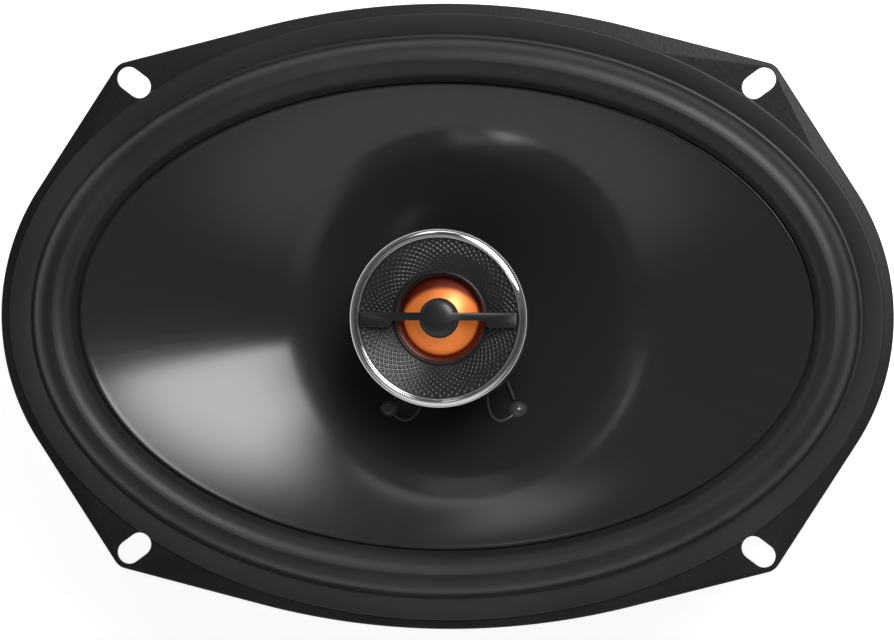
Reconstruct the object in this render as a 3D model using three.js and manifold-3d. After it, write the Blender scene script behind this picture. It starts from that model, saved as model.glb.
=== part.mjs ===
// Coaxial oval car speaker: an oval woofer with a small tweeter held over its centre on a post.
// Millimetres, +Z up. The speaker lies on its magnet and fires upwards: the origin is the centre of the
// back of the yoke, +X runs along the oval's long axis, and the terminals are on the -Y side.
import * as THREE from "three";
import { mergeVertices } from "three/addons/utils/BufferGeometryUtils.js";
import Module from "manifold-3d";

const wasm = await Module();
wasm.setup();

// ---------------------------------------------------------------- driving dimensions

// Basket: pressed steel, with a flange that the panel screws hold.
const FLANGE_LENGTH = 236.5;
const FLANGE_WIDTH = 164.6;
const SHEET = 1.2;
const MOUNTING_DEPTH = 81; // from the flange's back face to the back of the yoke
const END_ARC_RADIUS = 61; // the flange's two short ends
const SIDE_ARC_RADIUS = 197; // the flange's two long sides
const SLOT_LENGTH = 9.7;
const SLOT_WIDTH = 6.2;
const SLOT_ANGLE = 36.6; // degrees from the long axis
const EAR_WALL = 1.4; // metal left round a slot's outer end
const EDGE_MARGIN = 2.4; // bare metal outside the surround
const SEAT_WIDTH = 6.3; // the surround's glued rim
const RIM_DEPTH = 13; // the steep wall below the flange
const RIM_CORNER = 2.6;
const LANDING_RISE = 10; // the spider's landing above the basket's floor
const LANDING_WIDTH = 7;
const LEG_WIDTH = 12;
const TERMINAL_LEG_WIDTH = 22;
const LEG_ANGLE = 38; // the slanted legs, in degrees from the long axis
const WINDOW_MARGIN = 4.6; // metal left above and below a window
const VENT_WIDTH = 9;
const VENT_HEIGHT = 4.6;

// Motor.
const YOKE_RADIUS = 43;
const YOKE_PLATE = 6;
const MAGNET_RADIUS = 46;
const MAGNET_THICKNESS = 17;
const MAGNET_BORE_GAP = 7.5; // from the pole to the magnet's bore
const TOP_PLATE_RADIUS = 43;
const TOP_PLATE_THICKNESS = 5;
const CHAMFER = 1.2;
const POLE_RADIUS = 14.5;
const COIL_GAP = 0.5; // pole to former
const FORMER_WALL = 0.4;
const WINDING_WALL = 0.9;
const WINDING_HEIGHT = 14;
const OUTER_GAP = 0.9; // winding to top plate
const RECESS_RADIUS = 9;
const RECESS_DEPTH = 8;
const WIRE_GROOVE_WIDTH = 5;
const WIRE_GROOVE_DEPTH = 3;
const FLOOR_WIDTH = 23; // the basket's flat floor, from its hole to the wall under the landing
const RIVET_RADIUS = 1.7;
const RIVET_HEAD_RADIUS = 3.2;
const RIVET_HEAD_HEIGHT = 1.6;

// Moving system of the woofer.
const ROLL_WIDTH = 12.2;
const ROLL_HEIGHT = 6.5;
const RUBBER = 0.9;
const CONE_WALL = 0.8;
const CONE_FLARE = 0.45; // 0 is a straight cone
const STROKE = 5;
const GLUE_GAP = 0.1;
const NECK_COLLAR = 1.6;
const SPIDER_RISE = 7.6; // the spider's neck above its rim: it is a cupped spider
const CONE_ABOVE_SPIDER = 8.4; // the cone's neck above the spider's
const SPIDER_WAVES = 3;
const SPIDER_WAVE_HEIGHT = 1.1;
const SPIDER_CLOTH = 0.6;
const EYELET_X = 17;
const EYELET_Y = -25;
const EYELET_RADIUS = 1.5;
const DAB_RADIUS = 3.4;
const COIL_WIRE_RADIUS = 0.5;

// Tweeter and its post.
const TWEETER_RADIUS = 23.6;
const TWEETER_PROTRUSION = 16; // the bezel's crest above the flange's front
const BEZEL_WALL = 1.9;
const BEZEL_DEPTH = 12;
const BEZEL_CREST = 2.4;
const HOUSING_WALL = 1.6;
const HOUSING_DEPTH = 15.8;
const FACEPLATE_THROAT = 12.1;
const FACEPLATE_DEPTH = 3.2;
const FACEPLATE_WALL = 0.9;
const FACEPLATE_RIM = 1.8;
const DOME_RADIUS = 10.3;
const DOME_HEIGHT = 3.2;
const DOME_WALL = 0.4;
const DOME_STROKE = 0.3;
const SUSPENSION_WIDTH = 2.3;
const SUSPENSION_DROP = 1;
const SUSPENSION_WALL = 0.35;
const TWEETER_COIL_GAP = 0.5;
const TWEETER_FORMER_WALL = 0.2;
const TWEETER_WINDING_WALL = 0.5;
const TWEETER_WINDING_HEIGHT = 3;
const TWEETER_MAGNET_HEIGHT = 3.5;
const TWEETER_PLATE_HEIGHT = 2;
const TWEETER_CUP_WALL = 2;
const BRIDGE_HEIGHT = 1.5;
const BRIDGE_END_WIDTH = 2.7;
const BRIDGE_WAIST = 1.2;
const PLUG_RADIUS = 5;
const PLUG_GAP = 0.5; // dome's crest at the end of its stroke to the plug
const POST_RADIUS = 8;
const STUD_RADIUS = 4.9;
const STUD_CLEARANCE = 0.25;
const POST_BORE_RADIUS = 2.5;
const BORE_MOUTH = 1; // the countersink where the wires leave the stud
const WASHER_THICKNESS = 0.8;
const NUT_HEIGHT = 3.8;
const NUT_RADIUS = 8; // across the corners
const SEAL_HEIGHT = 4;
const SEAL_GAP = 0.8;

// Terminals and wiring.
const BOARD_LENGTH = 36;
const BOARD_WIDTH = 14;
const BOARD_THICKNESS = 1.8;
const TERMINAL_THICKNESS = 0.8;
const WIDE_BLADE = 4.8;
const NARROW_BLADE = 2.8;
const BLADE_LENGTH = 8.5;
const FOOT_LENGTH = 7.6;
const CAPACITOR_RADIUS = 5;
const CAPACITOR_LENGTH = 20;
const CAPACITOR_GAP = 3.4; // from the board's lower edge
const WIRE_RADIUS = 0.6;
const TINSEL_RADIUS = 0.7;
const LEAD_SAG = 3.5; // how far a tinsel lead hangs below its ends
const LEAD_RADIUS = 0.4;
const TOUCH = 0.3; // air left between pieces that touch at a slant

// Facets.
const FLATNESS = 0.02;
const OVAL_SEGMENTS = 40;
const CONE_STEPS = 4;
const ROLL_STEPS = 4;
const MOTOR_SEGMENTS = 30;
const TWEETER_SEGMENTS = 24;
const SMALL_SEGMENTS = 12;
const WIRE_SIDES = 6;

// ---------------------------------------------------------------- heights and radii that follow

const magnetBackZ = YOKE_PLATE;
const topPlateZ = magnetBackZ + MAGNET_THICKNESS;
const floorZ = topPlateZ + TOP_PLATE_THICKNESS;
const poleTopZ = floorZ + 1;
const landingZ = floorZ + LANDING_RISE;
const flangeBackZ = MOUNTING_DEPTH;
const flangeFrontZ = flangeBackZ + SHEET;

const formerInner = POLE_RADIUS + COIL_GAP;
const formerOuter = formerInner + FORMER_WALL;
const windingOuter = formerOuter + WINDING_WALL;
const topPlateBore = windingOuter + OUTER_GAP;
const magnetBore = POLE_RADIUS + MAGNET_BORE_GAP;
const floorHole = topPlateBore + 1.3;
const landingInner = floorHole + FLOOR_WIDTH - SHEET;
const landingOuter = landingInner + LANDING_WIDTH;

const wallInset = EDGE_MARGIN + SEAT_WIDTH;
const coneInset = wallInset + ROLL_WIDTH;
const coneEdgeZ = flangeFrontZ;
const spiderNeckZ = landingZ + SPIDER_RISE;
const neckZ = spiderNeckZ + CONE_ABOVE_SPIDER;
const neckRadius = formerOuter + GLUE_GAP;
const windingZ = topPlateZ + TOP_PLATE_THICKNESS / 2 - WINDING_HEIGHT / 2;

const bezelTopZ = flangeFrontZ + TWEETER_PROTRUSION;
const bezelInner = TWEETER_RADIUS - BEZEL_WALL;
const housingRadius = bezelInner - 0.2;
const faceplateRimZ = bezelTopZ - BEZEL_CREST;
const housingTopZ = faceplateRimZ - 0.6;
const housingBottomZ = housingTopZ - HOUSING_DEPTH;
const throatZ = faceplateRimZ - FACEPLATE_DEPTH;
const suspensionZ = throatZ - FACEPLATE_WALL;
const domeBaseZ = suspensionZ - SUSPENSION_DROP;
const domeTopZ = domeBaseZ + DOME_HEIGHT;
const cupFloorZ = housingBottomZ + HOUSING_WALL + 0.4;
const tweeterMagnetZ = cupFloorZ + TWEETER_CUP_WALL;
const tweeterPlateZ = tweeterMagnetZ + TWEETER_MAGNET_HEIGHT;
const cupTopZ = tweeterPlateZ + TWEETER_PLATE_HEIGHT;
const tweeterFormerInner = DOME_RADIUS - TWEETER_FORMER_WALL - 0.2;
const tweeterFormerOuter = tweeterFormerInner + TWEETER_FORMER_WALL;
const tweeterWindingOuter = tweeterFormerOuter + TWEETER_WINDING_WALL;
const tweeterPlateRadius = tweeterFormerInner - TWEETER_COIL_GAP;
const cupInner = tweeterWindingOuter + TWEETER_COIL_GAP + 0.3;
const cupOuter = cupInner + TWEETER_CUP_WALL;

// ---------------------------------------------------------------- shaping helpers

const radians = THREE.MathUtils.degToRad;

/** A geometry as a manifold solid. */
function solidOf(geometry) {
  const bare = geometry.clone();
  bare.deleteAttribute("normal");
  bare.deleteAttribute("uv");
  const merged = mergeVertices(bare, 1e-4);
  return new wasm.Manifold(
    new wasm.Mesh({
      numProp: 3,
      vertProperties: new Float32Array(merged.attributes.position.array),
      triVerts: new Uint32Array(merged.index.array),
    }),
  );
}

/** A manifold solid as a geometry with flat faces. */
function geometryOf(solid) {
  const mesh = solid.asOriginal().simplify(FLATNESS).getMesh();
  const made = new THREE.BufferGeometry();
  const points = new Float32Array(mesh.numVert * 3);
  for (let i = 0; i < mesh.numVert; i++) {
    points.set(mesh.vertProperties.subarray(i * mesh.numProp, i * mesh.numProp + 3), i * 3);
  }
  made.setAttribute("position", new THREE.BufferAttribute(points, 3));
  made.setIndex(new THREE.BufferAttribute(new Uint32Array(mesh.triVerts), 1));
  const flat = made.toNonIndexed();
  flat.computeVertexNormals();
  return flat;
}

/** Joins geometries into one solid body. */
function joined(...geometries) {
  return geometries.map(solidOf).reduce((whole, next) => whole.add(next));
}

/** A round body about Z. The profile is [radius, z] points, anticlockwise with radius to the right. */
function turned(profile, segments) {
  const points = profile.map(([radius, z]) => new THREE.Vector2(radius, z));
  const onAxis = profile[0][0] === 0 && profile.at(-1)[0] === 0;
  if (!onAxis) points.push(points[0].clone());
  return new THREE.LatheGeometry(points, segments).rotateX(Math.PI / 2);
}

/** A ring whose sections are ovals. The profile is [half length, half width, z] points, closed on itself. */
function ovalRing(profile, segments = OVAL_SEGMENTS) {
  const made = turned(profile.map(([a, , z]) => [a, z]), segments);
  const position = made.attributes.position;
  const perSection = profile.length + 1;
  for (let i = 0; i < position.count; i++) {
    const [a, b] = profile[(i % perSection) % profile.length];
    position.setY(i, (position.getY(i) * b) / a);
  }
  return made;
}

/** A flat-ended oval plug. */
function ovalDisc([a, b], z0, z1) {
  const disc = turned(
    [
      [0, z0],
      [a, z0],
      [a, z1],
      [0, z1],
    ],
    OVAL_SEGMENTS,
  );
  return solidOf(disc.scale(1, b / a, 1));
}

/** The flange oval's half axes, drawn in by an inset. */
function inset(distance) {
  return [FLANGE_LENGTH / 2 - distance, FLANGE_WIDTH / 2 - distance];
}

/** A block between two corners. */
function block([x0, y0, z0], [x1, y1, z1]) {
  return new THREE.BoxGeometry(x1 - x0, y1 - y0, z1 - z0).translate(
    (x0 + x1) / 2,
    (y0 + y1) / 2,
    (z0 + z1) / 2,
  );
}

/** A rod along Z. */
function rod(radius, z0, z1, segments = SMALL_SEGMENTS) {
  return new THREE.CylinderGeometry(radius, radius, z1 - z0, segments)
    .rotateX(Math.PI / 2)
    .translate(0, 0, (z0 + z1) / 2);
}

/** A round wire along a smooth curve through the points. */
function wire(points, radius, steps) {
  const section = new THREE.Shape();
  section.absarc(0, 0, radius, 0, 2 * Math.PI);
  const sides = section.getPoints(WIRE_SIDES / 2).slice(0, -1);
  const curve = new THREE.CatmullRomCurve3(points, false, "centripetal");
  return new THREE.ExtrudeGeometry(new THREE.Shape(sides), { steps, extrudePath: curve });
}

/** The cone's half axes at a share of the way from its neck to its edge. */
function coneAxes(share) {
  return inset(coneInset).map((edge) => neckRadius + (edge - neckRadius) * share);
}

/** The height of the cone's front face at a share of the way out, on its facets. */
function coneHeight(share) {
  const rise = coneEdgeZ - neckZ;
  const curve = (at) => neckZ + rise * ((1 + CONE_FLARE) * at - CONE_FLARE * at * at);
  const step = Math.min(Math.floor(share * CONE_STEPS), CONE_STEPS - 1);
  const low = curve(step / CONE_STEPS);
  const high = curve((step + 1) / CONE_STEPS);
  return low + (high - low) * (share * CONE_STEPS - step);
}

/** The share at which the cone passes through a point in plan. */
function coneShare(x, y) {
  let low = 0;
  let high = 1;
  for (let i = 0; i < 40; i++) {
    const middle = (low + high) / 2;
    const [a, b] = coneAxes(middle);
    if ((x / a) ** 2 + (y / b) ** 2 > 1) low = middle;
    else high = middle;
  }
  return low;
}

/** The height of the cone's front face over a point in plan. */
function coneFrontAt(x, y) {
  return coneHeight(coneShare(x, y));
}

const root = new THREE.Group();

/** Adds one named piece to the object. */
function piece(name, shape, material, parent = root) {
  const geometry = shape.isBufferGeometry ? shape : geometryOf(shape);
  const mesh = new THREE.Mesh(geometry, material);
  mesh.name = name;
  parent.add(mesh);
  return mesh;
}

/** A plain surface. */
function finish(color, roughness, metalness = 0) {
  return new THREE.MeshStandardMaterial({ color, roughness, metalness });
}

const blackSteel = finish(0x17181a, 0.45, 0.3);
const zincSteel = finish(0x9a9ca0, 0.35, 0.9);
const ferrite = finish(0x2b2b2e, 0.7);
const rubber = finish(0x1c1c1d, 0.6);
const glossPoly = finish(0x222224, 0.2);
const blackPlastic = finish(0x1a1a1c, 0.5);
const chrome = finish(0xe6e6e8, 0.08, 1);
const amber = finish(0xf0641e, 0.3);
const cloth = finish(0xb89a5a, 0.85);
const paper = finish(0xb8905a, 0.8);
const aluminium = finish(0xb8babd, 0.4, 0.8);
const copper = finish(0xb06038, 0.35, 0.9);
const brass = finish(0xc8a050, 0.35, 0.9);
const felt = finish(0x202020, 0.95);
const board = finish(0x4a3220, 0.7);
const sleeve = finish(0x16203a, 0.4);
const redWire = finish(0x9a1c18, 0.5);
const blackWire = finish(0x141414, 0.5);
const tinsel = finish(0xb89468, 0.5, 0.5);
const glue = finish(0x101011, 0.25);
const nickel = finish(0xb4b2ac, 0.25, 0.95);

// ---------------------------------------------------------------- basket

/** Points along an arc, from one angle to another. */
function arc([cx, cy], radius, from, to, steps) {
  return [...Array(steps + 1).keys()].map((i) => {
    const angle = from + ((to - from) * i) / steps;
    return new THREE.Vector2(cx + radius * Math.cos(angle), cy + radius * Math.sin(angle));
  });
}

/** The flange's outline: four arcs, with a slotted ear where the long and short sides meet. */
function flangeOutline() {
  const endCentre = [FLANGE_LENGTH / 2 - END_ARC_RADIUS, 0];
  const sideCentre = [0, FLANGE_WIDTH / 2 - SIDE_ARC_RADIUS];
  const { outerX, outerY } = slotPlace();
  const earRadius = SLOT_WIDTH / 2 + EAR_WALL;
  const bearing = ([cx, cy]) => Math.atan2(outerY - cy, outerX - cx);
  const spread = ([cx, cy], radius) =>
    Math.acos((radius - earRadius) / Math.hypot(outerX - cx, outerY - cy));
  const endAngle = bearing(endCentre) - spread(endCentre, END_ARC_RADIUS);
  const sideAngle = bearing(sideCentre) + spread(sideCentre, SIDE_ARC_RADIUS);
  const quarter = [
    ...arc(endCentre, END_ARC_RADIUS, 0, endAngle, 7),
    ...arc([outerX, outerY], earRadius, endAngle, sideAngle, 5),
    ...arc(sideCentre, SIDE_ARC_RADIUS, sideAngle, Math.PI / 2, 5),
  ];
  const mirrored = (signX, signY) => quarter.map(({ x, y }) => new THREE.Vector2(signX * x, signY * y));
  const half = [...quarter, ...mirrored(-1, 1).reverse().slice(1)];
  const otherHalf = [...mirrored(-1, -1).slice(1), ...mirrored(1, -1).reverse().slice(1, -1)];
  return new THREE.Shape([...half, ...otherHalf]);
}

/** Where the slot in the first quadrant lies: its centre and the centre of its outer end. */
function slotPlace() {
  const [a, b] = inset(EDGE_MARGIN);
  const angle = radians(SLOT_ANGLE);
  const rimRadius = 1 / Math.hypot(Math.cos(angle) / a, Math.sin(angle) / b);
  const middle = rimRadius + SLOT_LENGTH / 2;
  const outer = middle + (SLOT_LENGTH - SLOT_WIDTH) / 2;
  return {
    x: middle * Math.cos(angle),
    y: middle * Math.sin(angle),
    outerX: outer * Math.cos(angle),
    outerY: outer * Math.sin(angle),
  };
}

/** The cutter for one screw slot, on the quadrant given by two signs. */
function slotCutter(signX, signY) {
  const { x, y } = slotPlace();
  const reach = (SLOT_LENGTH - SLOT_WIDTH) / 2;
  const slot = new THREE.Shape();
  slot.absarc(reach, 0, SLOT_WIDTH / 2, -Math.PI / 2, Math.PI / 2);
  slot.absarc(-reach, 0, SLOT_WIDTH / 2, Math.PI / 2, (3 * Math.PI) / 2);
  const quadrantAngle = Math.atan2(signY * y, signX * x);
  return solidOf(
    new THREE.ExtrudeGeometry(slot, { depth: 4 * SHEET, bevelEnabled: false, curveSegments: 4 })
      .rotateZ(quadrantAngle)
      .translate(signX * x, signY * y, flangeBackZ - SHEET),
  );
}

const QUADRANTS = [
  [1, 1],
  [-1, 1],
  [-1, -1],
  [1, -1],
];

const rimFootZ = flangeBackZ - RIM_DEPTH;
const rampBottomZ = landingZ + 1.6;

/** The pressed bowl: rim wall, sloping ramp, spider landing and floor. */
function bowl() {
  const under = landingZ - SHEET;
  const outerFoot = landingInner + SHEET;
  const drop = (SHEET * 7) / 6;
  return ovalRing([
    [floorHole, floorHole, floorZ],
    [outerFoot, outerFoot, floorZ],
    [outerFoot, outerFoot, under],
    [landingOuter, landingOuter, under],
    [landingOuter + 1.6, landingOuter + 1.6, rampBottomZ],
    [...inset(wallInset + RIM_CORNER), rimFootZ],
    [...inset(wallInset + 0.6), rimFootZ + RIM_CORNER],
    [...inset(wallInset), flangeFrontZ],
    [...inset(wallInset + SHEET), flangeFrontZ],
    [...inset(wallInset + 0.6 + SHEET), rimFootZ + RIM_CORNER + drop],
    [...inset(wallInset + RIM_CORNER + SHEET), rimFootZ + drop],
    [landingOuter + 0.4, landingOuter + 0.4, rampBottomZ + drop],
    [landingOuter, landingOuter, landingZ],
    [landingInner, landingInner, landingZ],
    [landingInner, landingInner, floorZ + SHEET],
    [floorHole, floorHole, floorZ + SHEET],
  ]);
}

/** What is cut out of the ramp between the legs. */
function windowCutter() {
  const inner = landingOuter + WINDOW_MARGIN;
  const [outerA, outerB] = inset(wallInset + RIM_CORNER + WINDOW_MARGIN);
  const low = landingZ + SHEET / 2;
  const high = rimFootZ + RIM_CORNER;
  let cutter = solidOf(
    ovalRing([
      [inner, inner, low],
      [outerA, outerB, low],
      [outerA, outerB, high],
      [inner, inner, high],
    ]),
  );
  const legs = [
    [0, LEG_WIDTH],
    [LEG_ANGLE, LEG_WIDTH],
    [90, LEG_WIDTH],
    [180 - LEG_ANGLE, LEG_WIDTH],
    [180, LEG_WIDTH],
    [180 + LEG_ANGLE, LEG_WIDTH],
    [270, TERMINAL_LEG_WIDTH],
    [360 - LEG_ANGLE, LEG_WIDTH],
  ];
  for (const [angle, width] of legs) {
    const leg = block([0, -width / 2, low - 1], [FLANGE_LENGTH, width / 2, high + 1]);
    cutter = cutter.subtract(solidOf(leg.rotateZ(radians(angle))));
  }
  return cutter;
}

/** The eight vents in the wall under the spider's landing. */
function ventCutters() {
  const middle = (floorZ + landingZ) / 2;
  return [...Array(8).keys()].map((i) =>
    solidOf(
      block(
        [landingInner - 4, -VENT_WIDTH / 2, middle - VENT_HEIGHT / 2],
        [landingInner + 4, VENT_WIDTH / 2, middle + VENT_HEIGHT / 2],
      ).rotateZ(radians(22.5 + 45 * i)),
    ),
  );
}

// The terminal board lies on the outer face of the -Y leg. In the board's own group, x is the object's X,
// y runs up the leg and z points out of it.
const legTop = [FLANGE_WIDTH / 2 - wallInset - RIM_CORNER, rimFootZ];
const legFoot = [landingOuter + 1.6, rampBottomZ];
const legRun = legTop[0] - legFoot[0];
const legRise = legTop[1] - legFoot[1];
const legLength = Math.hypot(legRun, legRise);
const boardShare = 0.62; // how far up the leg the board's centre lies
const terminalGroup = new THREE.Group();
terminalGroup.position.set(
  0,
  -(legFoot[0] + legRun * boardShare),
  legFoot[1] + legRise * boardShare,
);
terminalGroup.rotation.x = Math.PI - Math.atan2(legRise, legRun);
root.add(terminalGroup);
terminalGroup.updateMatrix();

/** A point of the terminal group in the object's own frame. */
function fromBoard(x, y, z) {
  return new THREE.Vector3(x, y, z).applyMatrix4(terminalGroup.matrix);
}

const BOARD_RIVET_X = 5;
const boardBackZ = TOUCH + 0.1;
const boardFrontZ = boardBackZ + BOARD_THICKNESS;

/** The hole in the leg for one of the board's rivets. */
function boardRivetHole(x) {
  const hole = rod(RIVET_RADIUS + TOUCH, -3 * SHEET, 3 * SHEET).translate(x, 0, 0);
  return solidOf(hole.applyMatrix4(terminalGroup.matrix));
}

const RIVET_CIRCLE = floorHole + FLOOR_WIDTH / 2;
const rivetPlaces = QUADRANTS.map(([x, y]) => [
  (x * RIVET_CIRCLE) / Math.SQRT2,
  (y * RIVET_CIRCLE) / Math.SQRT2,
]);

/** A hole for a basket rivet, through whatever it is cut from. */
function rivetHole([x, y], z0, z1) {
  return solidOf(rod(RIVET_RADIUS + 0.1, z0, z1).translate(x, y, 0));
}

function makeBasket() {
  const sheet = new THREE.ExtrudeGeometry(flangeOutline(), { depth: SHEET, bevelEnabled: false });
  const mouth = ovalDisc(inset(wallInset + SHEET / 2), flangeBackZ - 1, flangeFrontZ + 1);
  const flange = solidOf(sheet.translate(0, 0, flangeBackZ)).subtract(mouth);
  let basket = flange.add(solidOf(bowl()));
  const cutters = [
    windowCutter(),
    ...ventCutters(),
    ...QUADRANTS.map(([x, y]) => slotCutter(x, y)),
    ...rivetPlaces.map((place) => rivetHole(place, floorZ - 1, floorZ + 2 * SHEET)),
    boardRivetHole(-BOARD_RIVET_X),
    boardRivetHole(BOARD_RIVET_X),
  ];
  for (const cutter of cutters) basket = basket.subtract(cutter);
  piece("basket", basket, blackSteel);
}

// ---------------------------------------------------------------- motor

function makeMotor() {
  const pole = solidOf(
    turned(
      [
        [STUD_RADIUS + STUD_CLEARANCE, RECESS_DEPTH],
        [RECESS_RADIUS, RECESS_DEPTH],
        [RECESS_RADIUS, 0],
        [YOKE_RADIUS - CHAMFER, 0],
        [YOKE_RADIUS, CHAMFER],
        [YOKE_RADIUS, YOKE_PLATE],
        [POLE_RADIUS, YOKE_PLATE],
        [POLE_RADIUS, poleTopZ],
        [STUD_RADIUS + STUD_CLEARANCE, poleTopZ],
      ],
      MOTOR_SEGMENTS,
    ),
  );
  const groove = block(
    [-WIRE_GROOVE_WIDTH / 2, -YOKE_RADIUS - 1, -1],
    [WIRE_GROOVE_WIDTH / 2, 0, WIRE_GROOVE_DEPTH],
  );
  piece("yoke", pole.subtract(solidOf(groove)), zincSteel);

  const magnetTop = topPlateZ;
  piece(
    "magnet",
    turned(
      [
        [magnetBore, magnetBackZ],
        [MAGNET_RADIUS - CHAMFER, magnetBackZ],
        [MAGNET_RADIUS, magnetBackZ + CHAMFER],
        [MAGNET_RADIUS, magnetTop - CHAMFER],
        [MAGNET_RADIUS - CHAMFER, magnetTop],
        [magnetBore, magnetTop],
      ],
      MOTOR_SEGMENTS,
    ),
    ferrite,
  );

  let plate = solidOf(
    turned(
      [
        [topPlateBore, topPlateZ],
        [TOP_PLATE_RADIUS, topPlateZ],
        [TOP_PLATE_RADIUS, floorZ],
        [topPlateBore, floorZ],
      ],
      MOTOR_SEGMENTS,
    ),
  );
  for (const place of rivetPlaces) plate = plate.subtract(rivetHole(place, topPlateZ - 1, floorZ + 1));
  piece("top_plate", plate, zincSteel);

  rivetPlaces.forEach(([x, y], i) => {
    const headZ = floorZ + SHEET;
    const rivet = turned(
      [
        [0, topPlateZ + 0.5],
        [RIVET_RADIUS, topPlateZ + 0.5],
        [RIVET_RADIUS, headZ],
        [RIVET_HEAD_RADIUS, headZ],
        [RIVET_HEAD_RADIUS * 0.8, headZ + RIVET_HEAD_HEIGHT * 0.7],
        [0, headZ + RIVET_HEAD_HEIGHT],
      ],
      SMALL_SEGMENTS,
    );
    piece(`basket_rivet_${i + 1}`, rivet.translate(x, y, 0), zincSteel);
  });
}

// ---------------------------------------------------------------- woofer's moving system

const SURROUND_LIP_SHARE = 0.93; // how far in the surround's lip reaches under the cone

/** The rubber surround: a glued rim, a half roll, and a lip under the cone's edge. */
function surround() {
  const rimTop = flangeFrontZ + RUBBER;
  const edgeUnder = coneEdgeZ - CONE_WALL - GLUE_GAP;
  const rollTo = coneInset - TOUCH;
  const overRoll = [];
  const underRoll = [];
  for (let i = 0; i <= ROLL_STEPS; i++) {
    const turn = (Math.PI * i) / ROLL_STEPS;
    const middle = (wallInset + rollTo) / 2;
    const across = (half) => inset(middle - half * Math.cos(turn));
    const half = (rollTo - wallInset) / 2;
    const fall = ((rimTop - coneEdgeZ) * i) / ROLL_STEPS;
    overRoll.push([...across(half), rimTop - fall + ROLL_HEIGHT * Math.sin(turn)]);
    underRoll.push([
      ...across(half - RUBBER),
      rimTop - RUBBER - fall + ROLL_HEIGHT * Math.sin(turn),
    ]);
  }
  const lipAxes = coneAxes(SURROUND_LIP_SHARE);
  const lipTop = coneHeight(SURROUND_LIP_SHARE) - CONE_WALL - GLUE_GAP;
  return ovalRing([
    [...inset(EDGE_MARGIN), flangeFrontZ],
    [...inset(EDGE_MARGIN), rimTop],
    ...overRoll,
    [...inset(rollTo), edgeUnder],
    [...lipAxes, lipTop],
    [...lipAxes, lipTop - RUBBER],
    [...inset(rollTo - RUBBER), edgeUnder - RUBBER],
    ...underRoll.reverse(),
  ]);
}

function makeCone() {
  const front = [];
  const back = [];
  for (let i = 0; i <= CONE_STEPS; i++) {
    const share = i / CONE_STEPS;
    front.push([...coneAxes(share), coneHeight(share)]);
    back.push([...coneAxes(share), coneHeight(share) - CONE_WALL]);
  }
  let cone = solidOf(ovalRing([...back, ...front.reverse()]));
  for (const side of [-1, 1]) {
    const hole = rod(EYELET_RADIUS + TOUCH, neckZ, coneEdgeZ).translate(side * EYELET_X, EYELET_Y, 0);
    cone = cone.subtract(solidOf(hole));
  }
  piece("cone", cone, glossPoly);
  return cone;
}

/** The cupped, corrugated cloth spider, from its rim on the landing to its collar on the former. */
function spider() {
  const collarOuter = neckRadius + NECK_COLLAR;
  const rimInner = landingInner + 0.5;
  const rimOuter = landingOuter - 0.3;
  const rimZ = landingZ + SPIDER_CLOTH;
  const over = [];
  const points = SPIDER_WAVES * 2;
  for (let i = 0; i <= points; i++) {
    const share = i / points;
    const radius = rimInner + (collarOuter - rimInner) * share;
    const wave = i % points === 0 ? 0 : SPIDER_WAVE_HEIGHT * (i % 2 ? 1 : -1);
    over.push([radius, rimZ + SPIDER_RISE * share + wave]);
  }
  const collarTop = spiderNeckZ + 2;
  return turned(
    [
      [rimOuter, landingZ],
      [rimOuter, rimZ],
      ...over,
      [collarOuter, collarTop],
      [neckRadius, collarTop],
      [neckRadius, spiderNeckZ],
      ...over.map(([radius, z]) => [radius, z - SPIDER_CLOTH]).reverse(),
    ],
    MOTOR_SEGMENTS,
  );
}

/** A tube about Z. */
function tube(inner, outer, z0, z1, segments) {
  return turned(
    [
      [inner, z0],
      [outer, z0],
      [outer, z1],
      [inner, z1],
    ],
    segments,
  );
}

const eyeletFrontZ = coneFrontAt(EYELET_X, EYELET_Y);
const EYELET_REACH = 1.6; // how far an eyelet stands behind the cone

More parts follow.
